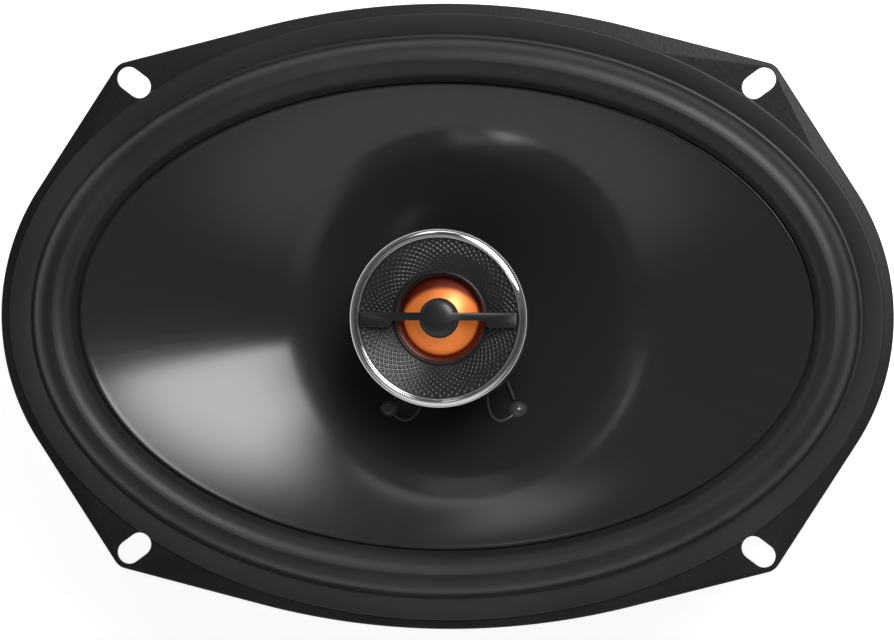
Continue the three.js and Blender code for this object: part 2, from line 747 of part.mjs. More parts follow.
function makeWooferMovingSystem() {
  const cone = makeCone();
  piece("surround", surround(), rubber);
  piece("spider", spider(), cloth);
  const formerTop = neckZ + 1.2;
  piece("voice_coil_former", tube(formerInner, formerOuter, windingZ, formerTop, MOTOR_SEGMENTS), aluminium);
  piece(
    "voice_coil_winding",
    tube(formerOuter, windingOuter, windingZ, windingZ + WINDING_HEIGHT, MOTOR_SEGMENTS),
    copper,
  );
  const raisedCone = cone.translate([0, 0, TOUCH]);
  for (const [side, name] of [
    [-1, "left"],
    [1, "right"],
  ]) {
    const x = side * EYELET_X;
    const eyeletTop = eyeletFrontZ + 1.2;
    const eyeletFoot = eyeletFrontZ - CONE_WALL - EYELET_REACH;
    const eyelet = rod(EYELET_RADIUS, eyeletFoot, eyeletTop).translate(x, EYELET_Y, 0);
    piece(`lead_eyelet_${name}`, eyelet, brass);

    const around = rod(EYELET_RADIUS + TOUCH, 0, eyeletTop + TOUCH).translate(x, EYELET_Y, 0);
    const below = ovalRing([
      [...coneAxes(0), 0],
      [...coneAxes(1), 0],
      ...[...Array(CONE_STEPS + 1).keys()].reverse().map((i) => {
        const share = i / CONE_STEPS;
        return [...coneAxes(share), coneHeight(share) + TOUCH];
      }),
    ]);
    const blob = new THREE.SphereGeometry(DAB_RADIUS, SMALL_SEGMENTS, SMALL_SEGMENTS / 2)
      .scale(1, 1, 0.85)
      .translate(x, EYELET_Y, eyeletFrontZ);
    const dab = solidOf(blob).subtract(solidOf(below)).subtract(raisedCone).subtract(solidOf(around));
    piece(`glue_dab_${name}`, dab, glue);

    const steps = [0.04, 0.3, 0.55, 0.8];
    const startX = side * 10.5;
    const startY = -Math.sqrt((neckRadius + 1) ** 2 - 10.5 ** 2);
    const path = steps.map((share) => {
      const px = startX + (x - startX) * share;
      const py = startY + (EYELET_Y - startY) * share;
      return new THREE.Vector3(px, py, coneFrontAt(px, py) + COIL_WIRE_RADIUS * 1.6 + TOUCH);
    });
    const lead = solidOf(wire(path, COIL_WIRE_RADIUS, 6));
    const clear = new THREE.SphereGeometry(DAB_RADIUS + TOUCH, SMALL_SEGMENTS, SMALL_SEGMENTS / 2)
      .scale(1, 1, 0.85)
      .translate(x, EYELET_Y, eyeletFrontZ);
    piece(`coil_lead_${name}`, lead.subtract(solidOf(clear)), glue);
  }
}

// ---------------------------------------------------------------- tweeter and post

/** The hollow post that carries the tweeter, with a stud through the pole. */
function makePost() {
  const studEnd = RECESS_DEPTH - WASHER_THICKNESS - NUT_HEIGHT - 0.2;
  const flare = 6;
  piece(
    "tweeter_post",
    turned(
      [
        [POST_BORE_RADIUS, studEnd + BORE_MOUTH],
        [POST_BORE_RADIUS + BORE_MOUTH, studEnd],
        [STUD_RADIUS, studEnd],
        [STUD_RADIUS, poleTopZ],
        [POST_RADIUS + 1.5, poleTopZ],
        [POST_RADIUS + 1.5, poleTopZ + 2],
        [POST_RADIUS, poleTopZ + 3.5],
        [POST_RADIUS, housingBottomZ - flare],
        [POST_RADIUS + 2.5, housingBottomZ],
        [POST_BORE_RADIUS, housingBottomZ],
      ],
      MOTOR_SEGMENTS,
    ),
    blackPlastic,
  );
  const washerTop = RECESS_DEPTH;
  const nutTop = washerTop - WASHER_THICKNESS;
  const bore = STUD_RADIUS + 0.15;
  piece("post_washer", tube(bore, NUT_RADIUS + 0.4, nutTop, washerTop, MOTOR_SEGMENTS), zincSteel);
  const hexagon = solidOf(rod(NUT_RADIUS, nutTop - NUT_HEIGHT, nutTop, 6));
  const thread = solidOf(rod(bore, nutTop - NUT_HEIGHT - 1, nutTop + 1, MOTOR_SEGMENTS));
  piece("post_nut", hexagon.subtract(thread), zincSteel);
  const sealTop = neckZ - 1;
  piece(
    "dust_seal",
    tube(POST_RADIUS, formerInner - SEAL_GAP, sealTop - SEAL_HEIGHT, sealTop, MOTOR_SEGMENTS),
    felt,
  );
}

/** The bar across the tweeter's mouth, with the phase plug at its middle. */
function bridge() {
  const reach = bezelInner - 1;
  const low = faceplateRimZ + 0.05;
  const end = BRIDGE_END_WIDTH / 2;
  const waist = BRIDGE_WAIST / 2;
  const bar = new THREE.Shape([
    new THREE.Vector2(-reach, -end),
    new THREE.Vector2(-PLUG_RADIUS + 1, -waist),
    new THREE.Vector2(PLUG_RADIUS - 1, -waist),
    new THREE.Vector2(reach, -end),
    new THREE.Vector2(reach, end),
    new THREE.Vector2(PLUG_RADIUS - 1, waist),
    new THREE.Vector2(-PLUG_RADIUS + 1, waist),
    new THREE.Vector2(-reach, end),
  ]);
  const barBody = new THREE.ExtrudeGeometry(bar, { depth: BRIDGE_HEIGHT, bevelEnabled: false });
  const plugFoot = domeTopZ + DOME_STROKE + PLUG_GAP;
  const plugTop = low + BRIDGE_HEIGHT + 0.4;
  const plug = turned(
    [
      [0, plugFoot],
      [PLUG_RADIUS * 0.8, plugFoot + 0.2],
      [PLUG_RADIUS, plugFoot + 1],
      [PLUG_RADIUS * 0.92, plugTop - 1],
      [PLUG_RADIUS * 0.6, plugTop - 0.3],
      [0, plugTop],
    ],
    TWEETER_SEGMENTS,
  );
  return joined(barBody.translate(0, 0, low), plug);
}

function makeTweeter() {
  const sides = TWEETER_SEGMENTS;
  const flank = housingRadius - 15;
  piece(
    "tweeter_housing",
    turned(
      [
        [POST_BORE_RADIUS, housingBottomZ],
        [15, housingBottomZ],
        [housingRadius, housingBottomZ + flank],
        [housingRadius, housingTopZ],
        [housingRadius - HOUSING_WALL, housingTopZ],
        [housingRadius - HOUSING_WALL, housingBottomZ + flank + 0.8],
        [cupOuter + 0.6, cupFloorZ],
        [POST_BORE_RADIUS, cupFloorZ],
      ],
      sides,
    ),
    blackPlastic,
  );
  piece(
    "tweeter_cup",
    turned(
      [
        [0, cupFloorZ],
        [cupOuter, cupFloorZ],
        [cupOuter, cupTopZ],
        [cupInner, cupTopZ],
        [cupInner, tweeterMagnetZ],
        [0, tweeterMagnetZ],
      ],
      sides,
    ),
    zincSteel,
  );
  piece("tweeter_magnet", rod(tweeterPlateRadius - 0.6, tweeterMagnetZ, tweeterPlateZ, sides), nickel);
  piece("tweeter_pole_plate", rod(tweeterPlateRadius, tweeterPlateZ, cupTopZ, sides), zincSteel);

  const rimInner = DOME_RADIUS + SUSPENSION_WIDTH;
  const rimOuter = rimInner + 2;
  const suspensionUnder = suspensionZ - SUSPENSION_WALL;
  piece("tweeter_mounting_ring", tube(rimInner, rimOuter, cupTopZ, suspensionUnder, sides), blackPlastic);
  const innerEdge = DOME_RADIUS + 0.05;
  piece(
    "tweeter_suspension",
    turned(
      [
        [innerEdge, domeBaseZ - SUSPENSION_WALL],
        [innerEdge + SUSPENSION_WIDTH * 0.45, domeBaseZ - SUSPENSION_WALL + 0.2],
        [rimInner - 0.3, suspensionUnder - 0.1],
        [rimInner, suspensionUnder],
        [rimOuter, suspensionUnder],
        [rimOuter, suspensionZ],
        [rimInner - 0.3, suspensionZ],
        [innerEdge + SUSPENSION_WIDTH * 0.45, domeBaseZ + 0.3],
        [innerEdge, domeBaseZ],
      ],
      sides,
    ),
    amber,
  );
  const formerFoot = tweeterPlateZ - 0.6;
  piece(
    "tweeter_former",
    tube(tweeterFormerInner, tweeterFormerOuter, formerFoot, domeBaseZ - DOME_WALL, sides),
    aluminium,
  );
  piece(
    "tweeter_winding",
    tube(tweeterFormerOuter, tweeterWindingOuter, formerFoot, formerFoot + TWEETER_WINDING_HEIGHT, sides),
    copper,
  );
  const domeSteps = [0, 0.35, 0.65, 0.88, 1];
  const arch = (share, lift) => [DOME_RADIUS * share, domeBaseZ + DOME_HEIGHT * (1 - share ** 2) + lift];
  piece(
    "tweeter_dome",
    turned(
      [
        ...domeSteps.map((share) => arch(share, -DOME_WALL)),
        ...[...domeSteps].reverse().map((share) => arch(share, 0)),
      ],
      sides,
    ),
    amber,
  );

  const faceRim = housingRadius;
  const throatWall = FACEPLATE_THROAT;
  piece(
    "tweeter_faceplate",
    turned(
      [
        [throatWall, suspensionZ],
        [rimOuter, suspensionZ],
        [faceRim - 2.4, housingTopZ - FACEPLATE_WALL],
        [faceRim - HOUSING_WALL - 0.1, housingTopZ],
        [faceRim, housingTopZ],
        [faceRim, faceplateRimZ],
        [faceRim - FACEPLATE_RIM, faceplateRimZ],
        [throatWall + 4, throatZ + FACEPLATE_DEPTH * 0.4],
        [throatWall, throatZ],
      ],
      sides,
    ),
    blackPlastic,
  );

  const bezelFoot = bezelTopZ - BEZEL_DEPTH;
  const crest = TWEETER_RADIUS - 1.1;
  piece(
    "tweeter_bezel",
    turned(
      [
        [bezelInner, bezelFoot],
        [TWEETER_RADIUS - 0.3, bezelFoot],
        [TWEETER_RADIUS, bezelFoot + 0.8],
        [TWEETER_RADIUS, bezelTopZ - 1.2],
        [TWEETER_RADIUS - 0.35, bezelTopZ - 0.4],
        [crest, bezelTopZ],
        [crest - 0.6, bezelTopZ - 0.5],
        [bezelInner - 0.6, faceplateRimZ + 0.6],
        [bezelInner - 0.6, faceplateRimZ + 0.1],
        [bezelInner, faceplateRimZ + 0.1],
      ],
      sides,
    ),
    chrome,
  );
  piece("tweeter_bridge", bridge(), blackPlastic);
}

// ---------------------------------------------------------------- terminals and wiring

const TERMINAL_RIVET_X = BOARD_LENGTH / 2 - 2.5;
const footOuterX = BOARD_LENGTH / 2 - 0.6;
const footFrontZ = boardFrontZ + TERMINAL_THICKNESS;
const TERMINAL_RIVET_RADIUS = 0.9;
const TERMINAL_RIVET_HEAD = 1.8;
const HEAD_HEIGHT = 0.7;
const capacitorY = -BOARD_WIDTH / 2 - CAPACITOR_GAP - CAPACITOR_RADIUS;
const capacitorZ = CAPACITOR_RADIUS + boardBackZ;

/** A push-on blade standing on a foot that is riveted to the board. */
function blade(side, width) {
  const footInner = footOuterX - FOOT_LENGTH;
  const foot = block(
    [footInner, -WIDE_BLADE / 2, boardFrontZ],
    [footOuterX, WIDE_BLADE / 2, footFrontZ],
  );
  const upright = block(
    [footInner, -width / 2, boardFrontZ],
    [footInner + TERMINAL_THICKNESS, width / 2, boardFrontZ + BLADE_LENGTH],
  );
  const hole = rod(TERMINAL_RIVET_RADIUS + 0.1, boardFrontZ - 1, footFrontZ + 1).translate(
    TERMINAL_RIVET_X,
    0,
    0,
  );
  const made = geometryOf(joined(foot, upright).subtract(solidOf(hole)));
  return side > 0 ? made : made.rotateZ(Math.PI);
}

/** A rivet with a head at both ends, along Z. */
function rivetThrough(x, shank, head, z0, z1) {
  return turned(
    [
      [0, z0 - HEAD_HEIGHT],
      [head * 0.8, z0 - HEAD_HEIGHT],
      [head, z0],
      [shank, z0],
      [shank, z1],
      [head, z1],
      [head * 0.8, z1 + HEAD_HEIGHT],
      [0, z1 + HEAD_HEIGHT],
    ],
    SMALL_SEGMENTS,
  ).translate(x, 0, 0);
}

function makeTerminals() {
  let plate = solidOf(
    block(
      [-BOARD_LENGTH / 2, -BOARD_WIDTH / 2, boardBackZ],
      [BOARD_LENGTH / 2, BOARD_WIDTH / 2, boardFrontZ],
    ),
  );
  const holes = [
    [BOARD_RIVET_X, RIVET_RADIUS + 0.1],
    [TERMINAL_RIVET_X, TERMINAL_RIVET_RADIUS + 0.1],
  ];
  for (const [x, radius] of holes) {
    for (const side of [-1, 1]) {
      const hole = rod(radius, boardBackZ - 1, boardFrontZ + 1).translate(side * x, 0, 0);
      plate = plate.subtract(solidOf(hole));
    }
  }
  piece("terminal_board", plate, board, terminalGroup);
  piece("terminal_positive", blade(-1, WIDE_BLADE), brass, terminalGroup);
  piece("terminal_negative", blade(1, NARROW_BLADE), brass, terminalGroup);
  [-1, 1].forEach((side, i) => {
    const x = side * TERMINAL_RIVET_X;
    piece(
      `terminal_rivet_${i + 1}`,
      rivetThrough(x, TERMINAL_RIVET_RADIUS, TERMINAL_RIVET_HEAD, boardBackZ, footFrontZ),
      brass,
      terminalGroup,
    );
    // Behind the leg the rivet's head stands clear of the leg's slightly curved inner face.
    const behindLeg = -SHEET * 2.1;
    piece(
      `board_rivet_${i + 1}`,
      rivetThrough(side * BOARD_RIVET_X, RIVET_RADIUS, RIVET_HEAD_RADIUS * 0.8, behindLeg, boardFrontZ),
      zincSteel,
      terminalGroup,
    );
  });
  const can = rod(CAPACITOR_RADIUS, -CAPACITOR_LENGTH / 2, CAPACITOR_LENGTH / 2, SMALL_SEGMENTS + 8);
  can.rotateY(Math.PI / 2).translate(0, capacitorY, capacitorZ);
  piece("crossover_capacitor", can, sleeve, terminalGroup);

  const canEnd = CAPACITOR_LENGTH / 2 + TOUCH;
  const leadEndZ = footFrontZ + LEAD_RADIUS + TOUCH;
  const toFoot = [
    [-canEnd, capacitorY, capacitorZ],
    [-canEnd - 2.4, capacitorY, capacitorZ],
    [-TERMINAL_RIVET_X + 0.4, capacitorY + 3, capacitorZ - 0.8],
    [-TERMINAL_RIVET_X, -BOARD_WIDTH / 2 - 1, leadEndZ + 0.6],
    [-TERMINAL_RIVET_X, -WIDE_BLADE / 2 + 0.2, leadEndZ],
  ];
  const toWire = [
    [canEnd, capacitorY, capacitorZ],
    [canEnd + 2, capacitorY, capacitorZ],
    [canEnd + 4, capacitorY - 0.8, capacitorZ + 0.4],
  ];
  const line = (points) => points.map(([x, y, z]) => new THREE.Vector3(x, y, z));
  piece("capacitor_lead_left", wire(line(toFoot), LEAD_RADIUS, 9), nickel, terminalGroup);
  piece("capacitor_lead_right", wire(line(toWire), LEAD_RADIUS, 4), nickel, terminalGroup);
}

/** The tweeter's two insulated wires: down the post, along the groove, up beside the magnet. */
function makeTweeterWires() {
  const grooveZ = WIRE_GROOVE_DEPTH - WIRE_RADIUS - 0.7;
  const pitch = WIRE_RADIUS * 1.5;
  const outside = -(MAGNET_RADIUS + WIRE_RADIUS + 1);
  const canEnd = CAPACITOR_LENGTH / 2;
  const down = (x) => [
    new THREE.Vector3(x, 0, housingBottomZ + HOUSING_WALL - 0.2),
    new THREE.Vector3(x, 0, 50),
    new THREE.Vector3(x, 0, 20),
    new THREE.Vector3(x, 0, 5.5),
    new THREE.Vector3(x, -0.8, 2.9),
    new THREE.Vector3(x, -5, grooveZ),
    new THREE.Vector3(x, -RECESS_RADIUS - 6, grooveZ),
    new THREE.Vector3(x, -YOKE_RADIUS + 6, grooveZ),
    new THREE.Vector3(x, -YOKE_RADIUS, grooveZ + 0.3),
    new THREE.Vector3(x, outside + 0.5, YOKE_PLATE - 2),
    new THREE.Vector3(x, outside, YOKE_PLATE + 3),
    new THREE.Vector3(x + 2, outside - 0.4, topPlateZ - 6),
  ];
  const positive = [
    ...down(pitch),
    new THREE.Vector3(9, outside - 1.6, floorZ - 1),
    fromBoard(canEnd + 2.6, capacitorY - 3.4, capacitorZ + 3),
    fromBoard(canEnd + 4, capacitorY - 0.8 - 2 * WIRE_RADIUS, capacitorZ + 0.9),
  ];
  const negative = [
    ...down(-pitch),
    new THREE.Vector3(8, outside - 4.6, floorZ),
    fromBoard(canEnd + 6, capacitorY - 3, capacitorZ + 4.4),
    fromBoard(TERMINAL_RIVET_X + 1.2, -BOARD_WIDTH / 2 - 1.5, footFrontZ + 3),
    fromBoard(TERMINAL_RIVET_X + 0.2, -WIDE_BLADE / 2 - 0.4, footFrontZ + WIRE_RADIUS + TOUCH),
  ];
  piece("tweeter_wire_positive", wire(positive, WIRE_RADIUS, 30), redWire);
  piece("tweeter_wire_negative", wire(negative, WIRE_RADIUS, 32), blackWire);
}

/** The two flexible braided leads, hanging in a slack loop from the board to the eyelets in the cone. */
function makeTinselLeads() {
  for (const [side, name] of [
    [-1, "left"],
    [1, "right"],
  ]) {
    const eyeletFoot = eyeletFrontZ - CONE_WALL - EYELET_REACH - TOUCH;
    const start = new THREE.Vector3(side * EYELET_X, EYELET_Y, eyeletFoot);
    const behindHead = boardBackZ - HEAD_HEIGHT - TOUCH;
    const end = fromBoard(side * TERMINAL_RIVET_X, 0, behindHead);
    const below = start.clone().setZ(eyeletFoot - 3);
    const approach = fromBoard(side * TERMINAL_RIVET_X, 0, behindHead - 3);
    const slack = [0.25, 0.5, 0.75].map((share) => {
      const point = below.clone().lerp(approach, share);
      point.z -= LEAD_SAG * Math.sin(Math.PI * share);
      return point;
    });
    const path = [start, below, ...slack, approach, end];
    piece(`tinsel_lead_${name}`, wire(path, TINSEL_RADIUS, 15), tinsel);
  }
}

makeBasket();
makeMotor();
makeWooferMovingSystem();
makePost();
makeTweeter();
makeTerminals();
makeTweeterWires();
makeTinselLeads();

export default root;
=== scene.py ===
"""An oval two-way car speaker: a woofer with a small dome tweeter held over its centre on a post.

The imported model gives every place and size. Each sub-assembly is a class that builds its pieces, dresses
them in their finishes and hands each one to the body that carries it. Sizes in the classes are in
millimetres, and the bench turns them into metres.
"""

import logging
import math
from dataclasses import dataclass
from enum import Enum
from typing import Any, Callable, ClassVar, Mapping, Sequence

import bpy
from mathutils import Matrix, Vector


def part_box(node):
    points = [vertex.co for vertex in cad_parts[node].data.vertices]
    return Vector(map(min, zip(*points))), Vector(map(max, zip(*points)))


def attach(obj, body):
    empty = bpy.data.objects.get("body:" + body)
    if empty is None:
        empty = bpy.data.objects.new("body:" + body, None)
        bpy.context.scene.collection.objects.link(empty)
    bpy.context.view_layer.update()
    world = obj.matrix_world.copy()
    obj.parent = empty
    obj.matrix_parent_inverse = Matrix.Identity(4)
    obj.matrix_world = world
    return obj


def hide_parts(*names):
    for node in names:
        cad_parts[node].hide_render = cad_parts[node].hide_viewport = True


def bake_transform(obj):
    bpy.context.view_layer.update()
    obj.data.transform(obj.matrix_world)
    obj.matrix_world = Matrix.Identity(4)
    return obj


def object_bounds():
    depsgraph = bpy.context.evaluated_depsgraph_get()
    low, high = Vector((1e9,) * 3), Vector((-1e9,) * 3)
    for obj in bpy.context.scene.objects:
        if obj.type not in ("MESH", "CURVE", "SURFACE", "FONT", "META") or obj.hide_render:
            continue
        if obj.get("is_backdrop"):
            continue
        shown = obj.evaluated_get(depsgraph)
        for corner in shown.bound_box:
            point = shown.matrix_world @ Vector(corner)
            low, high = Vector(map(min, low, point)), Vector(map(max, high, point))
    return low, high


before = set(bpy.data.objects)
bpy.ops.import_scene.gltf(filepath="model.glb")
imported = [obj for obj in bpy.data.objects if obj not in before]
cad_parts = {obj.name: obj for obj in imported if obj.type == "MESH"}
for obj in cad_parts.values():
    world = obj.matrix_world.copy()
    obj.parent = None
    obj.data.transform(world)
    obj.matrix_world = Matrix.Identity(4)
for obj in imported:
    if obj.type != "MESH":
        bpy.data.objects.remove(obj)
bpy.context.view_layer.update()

LOG = logging.getLogger("speaker")
MM = 0.001
TURN = 2.0 * math.pi
Plan = tuple[float, float]
Point = tuple[float, float, float]
Test = Callable[[Vector, Vector], bool]
Color = tuple[float, float, float, float]
SettingMap = Mapping[str, Any]
Piece = bpy.types.Object


class Body(Enum):
    """The bodies that pieces ride on."""

    FRAME = "frame_body"
    CONE = "cone_body"
    DOME = "dome_body"


class Ends(Enum):
    """How a drawn shape ends."""

    JOINED = "joined"
    CAPPED = "capped"


class Element(Enum):
    """What an edit acts on."""

    POINT = "VERT"
    EDGE = "EDGE"
    FACE = "FACE"


@dataclass(frozen=True)
class Ring:
    """One cross-section of a turned or drawn shape: an oval at a height."""

    long: float
    wide: float
    height: float

    def toward(self, other: "Ring", share: float) -> "Ring":
        """The ring a share of the way to another."""
        return Ring(
            self.long + (other.long - self.long) * share,
            self.wide + (other.wide - self.wide) * share,
            self.height + (other.height - self.height) * share,
        )

    def gap(self, other: "Ring") -> float:
        """How far apart two rings are."""
        return math.dist((self.long, self.wide, self.height), (other.long, other.wide, other.height))


def circle(radius: float, height: float) -> Ring:
    """A round ring."""
    return Ring(radius, radius, height)


def circles(*corners: Plan) -> list[Ring]:
    """Round rings, each from its radius and height."""
    return [circle(*corner) for corner in corners]


def softened(rings: Sequence[Ring], radius: float, steps: int = 3, ends: Ends = Ends.JOINED) -> list[Ring]:
    """Round a profile's corners.

    Args:
        rings: The profile's corners, in order.
        radius: How far a rounding reaches along each side of its corner.
        steps: How many rings each rounding has, less one.
        ends: Whether the profile closes on itself.

    Returns:
        The rounded profile.
    """
    count = len(rings)
    result: list[Ring] = []
    for i, corner in enumerate(rings):
        if ends is Ends.CAPPED and i in (0, count - 1):
            result.append(corner)
            continue
        before, after = rings[i - 1], rings[(i + 1) % count]
        reach_in = min(radius, corner.gap(before) * 0.45) / max(corner.gap(before), 1e-9)
        reach_out = min(radius, corner.gap(after) * 0.45) / max(corner.gap(after), 1e-9)
        start, finish = corner.toward(before, reach_in), corner.toward(after, reach_out)
        for step in range(steps + 1):
            share = step / steps
            result.append(start.toward(corner, share).toward(corner.toward(finish, share), share))
    return result


def smooth_path(points: Sequence[Vector], steps: int = 8) -> list[Vector]:
    """Pass a smooth curve through some points.

    Args:
        points: The points, in order.
        steps: How many pieces each stretch is divided into.

    Returns:
        Points along the curve, from the first to the last.
    """
    ends = [points[0] * 2 - points[1], *points, points[-1] * 2 - points[-2]]
    result: list[Vector] = []
    for a, b, c, d in zip(ends, ends[1:], ends[2:], ends[3:]):
        knots = [0.0]
        for p, q in ((a, b), (b, c), (c, d)):
            knots.append(knots[-1] + max((q - p).length, 1e-6) ** 0.5)
        for step in range(steps):
            t = knots[1] + (knots[2] - knots[1]) * step / steps
            row = [a, b, c, d]
            for level in (1, 2):
                row = [
                    p + (q - p) * ((t - knots[i]) / (knots[i + level] - knots[i]))
                    for i, (p, q) in enumerate(zip(row, row[1:]))
                ]
            result.append(row[0] + (row[1] - row[0]) * ((t - knots[1]) / (knots[2] - knots[1])))
    result.append(points[-1].copy())
    return result


def node_span(node: str) -> tuple[Vector, Vector]:
    """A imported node's lowest and highest corners, in millimetres."""
    low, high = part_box(node)
    return low / MM, high / MM


def node_heights(node: str) -> Plan:
    """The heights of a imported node's lowest and highest points, in millimetres."""
    low, high = node_span(node)
    return low.z, high.z


def shift(x: float, y: float, z: float = 0.0) -> Matrix:
    """A move by some millimetres."""
    return Matrix.Translation((x * MM, y * MM, z * MM))


def arc(centre: Plan, radii: Plan, start: float, end: float, steps: int) -> list[Plan]:
    """Points along a part of an oval.

    Args:
        centre: The oval's middle.
        radii: Its reach in X and in Y.
        start: The angle of the first point.
        end: The angle of the last point.
        steps: How many equal steps lie between them.

    Returns:
        The points, with both ends.
    """
    angles = [start + (end - start) * i / steps for i in range(steps + 1)]
    return [(centre[0] + radii[0] * math.cos(a), centre[1] + radii[1] * math.sin(a)) for a in angles]


class Bench:
    """The modelling steps that the sub-assemblies share."""

    @staticmethod
    def clear() -> None:
        """Leave edit mode and deselect everything."""
        if bpy.context.object and bpy.context.object.mode != "OBJECT":
            Bench.leave()
        bpy.ops.object.select_all(action="DESELECT")
        bpy.context.tool_settings.mesh_select_mode = (True, False, False)

    @staticmethod
    def only(piece: Piece) -> None:
        """Make one piece the only selected and active one.

        Args:
            piece: The piece to select.
        """
        Bench.clear()
        piece.select_set(True)
        bpy.context.view_layer.objects.active = piece

    @staticmethod
    def edit() -> None:
        """Enter edit mode with everything selected."""
        bpy.ops.object.mode_set(mode="EDIT")
        bpy.ops.mesh.select_all(action="SELECT")

    @staticmethod
    def leave() -> None:
        """Leave edit mode."""
        bpy.ops.object.mode_set(mode="OBJECT")

    @staticmethod
    def named(name: str) -> Piece:
        """Name the piece just added and put its place into its mesh.

        Args:
            name: The piece's name.

        Returns:
            The piece.
        """
        piece = bpy.context.object
        piece.name = name
        piece.data.name = name
        bpy.ops.object.transform_apply(location=True, rotation=True, scale=True)
        return piece

    @staticmethod
    def stretch(long: float, wide: float) -> None:
        """Scale the selection about the axis."""
        bpy.ops.transform.resize(value=(long, wide, 1.0), center_override=(0.0, 0.0, 0.0))

    @staticmethod
    def loft(name: str, rings: Sequence[Ring], sides: int = 128, ends: Ends = Ends.JOINED) -> Piece:
        """Draw a solid from one ring to the next.

        Args:
            name: The piece's name.
            rings: The sections, in order round a closed profile or from one cap to the other.
            sides: How many sides each section has.
            ends: Whether the last section joins the first, or both are capped.

        Returns:
            The new piece, with its faces pointing out.
        """
        Bench.clear()
        first = rings[0]
        bpy.ops.mesh.primitive_circle_add(
            vertices=sides, radius=1.0, location=(0.0, 0.0, first.height * MM)
        )
        piece = Bench.named(name)
        Bench.edit()
        Bench.stretch(first.long * MM, first.wide * MM)
        path = list(rings) + ([first] if ends is Ends.JOINED else [])
        for before, after in zip(path, path[1:]):
            rise = (after.height - before.height) * MM
            bpy.ops.mesh.extrude_region_move(TRANSFORM_OT_translate={"value": (0.0, 0.0, rise)})
            Bench.stretch(after.long / before.long, after.wide / before.wide)
        bpy.ops.mesh.select_all(action="SELECT")
        if ends is Ends.JOINED:
            bpy.ops.mesh.remove_doubles(threshold=2e-6)
        else:
            bpy.ops.mesh.fill_holes(sides=0)
        bpy.ops.mesh.normals_make_consistent(inside=False)
        Bench.leave()
        return piece

    @staticmethod
    def prism(name: str, outline: Sequence[Plan], low: float, high: float) -> Piece:
        """Raise a flat outline into a plate.

        Args:
            name: The piece's name.
            outline: The corners in plan, in order, not repeating the first.
            low: The plate's lower face.
            high: The plate's upper face.

        Returns:
            The new plate.
        """
        Bench.clear()
        x, y = outline[0]
        bpy.ops.mesh.primitive_plane_add(size=MM, location=(x * MM, y * MM, low * MM))
        piece = Bench.named(name)
        Bench.edit()
        bpy.ops.mesh.merge(type="CENTER")
        for before, after in zip(outline, outline[1:]):
            step = ((after[0] - before[0]) * MM, (after[1] - before[1]) * MM, 0.0)
            bpy.ops.mesh.extrude_region_move(TRANSFORM_OT_translate={"value": step})
        bpy.ops.mesh.select_all(action="SELECT")
        bpy.ops.mesh.edge_face_add()
        bpy.ops.mesh.extrude_region_move(
            TRANSFORM_OT_translate={"value": (0.0, 0.0, (high - low) * MM)}
        )
        bpy.ops.mesh.select_all(action="SELECT")
        bpy.ops.mesh.normals_make_consistent(inside=False)
        Bench.leave()
        return piece

    @staticmethod
    def block(name: str, low: Point, high: Point, bevel: float = 0.3, segments: int = 3) -> Piece:
        """Make a block between two corners, with its edges rounded.

        Args:
            name: The piece's name.
            low: Its lowest corner.
            high: Its highest corner.
            bevel: How far the rounding reaches, or nothing for sharp edges.
            segments: How many faces the rounding has.

        Returns:
            The new block.
        """
        Bench.clear()
        middle = [(a + b) / 2 * MM for a, b in zip(low, high)]
        size = [(b - a) * MM for a, b in zip(low, high)]
        bpy.ops.mesh.primitive_cube_add(size=1.0, location=middle, scale=size)
        piece = Bench.named(name)
        if bevel:
            Bench.edit()
            bpy.ops.mesh.bevel(offset=bevel * MM, segments=segments, affect="EDGES")
            Bench.leave()
        return piece

    @staticmethod
    def pick(piece: Piece, element: Element, test: Test) -> int:
        """Enter edit mode with only the elements that pass a test selected.

        Args:
            piece: The piece to edit.
            element: Points, edges or faces.
            test: Takes an element's middle, in millimetres, and its normal or direction.

        Returns:
            How many were selected.
        """
        Bench.only(piece)
        mesh = piece.data
        points = mesh.vertices
        for group in (points, mesh.edges, mesh.polygons):
            group.foreach_set("select", [False] * len(group))
        found = 0
        if element is Element.FACE:
            chosen = [(f, f.center / MM, f.normal) for f in mesh.polygons]
        elif element is Element.EDGE:
            chosen = []
            for edge in mesh.edges:
                a, b = (points[i].co for i in edge.vertices)
                chosen.append((edge, (a + b) / (2 * MM), (b - a).normalized()))
        else:
            chosen = [(v, v.co / MM, v.normal) for v in points]
        for item, middle, normal in chosen:
            if test(middle, normal):
                item.select = True
                found += 1
        kinds = (Element.POINT, Element.EDGE, Element.FACE)
        bpy.context.tool_settings.mesh_select_mode = tuple(element is kind for kind in kinds)
        bpy.ops.object.mode_set(mode="EDIT")
        return found

    @staticmethod
    def bevel_edges(piece: Piece, test: Test, offset: float, segments: int = 3) -> None:
        """Round the edges that pass a test.

        Args:
            piece: The piece to edit.
            test: Takes an edge's middle, in millimetres, and its direction.
            offset: How far the rounding reaches.
            segments: How many faces it has.
        """
        if Bench.pick(piece, Element.EDGE, test):
            bpy.ops.mesh.bevel(offset=offset * MM, segments=segments, affect="EDGES")
        Bench.leave()

    @staticmethod
    def boolean(piece: Piece, tool: Piece, operation: str) -> None:
        """Join a tool to a piece or cut it from one, and discard the tool.

        Args:
            piece: The piece that stays.
            tool: The solid that is joined or cut away.
            operation: Which of UNION, DIFFERENCE and INTERSECT is done.
        """
        Bench.only(piece)
        modifier = piece.modifiers.new(operation.title(), "BOOLEAN")
        modifier.operation = operation
        modifier.solver = "MANIFOLD"
        modifier.object = tool
        bpy.ops.object.modifier_apply(modifier=modifier.name)
        bpy.data.objects.remove(tool)

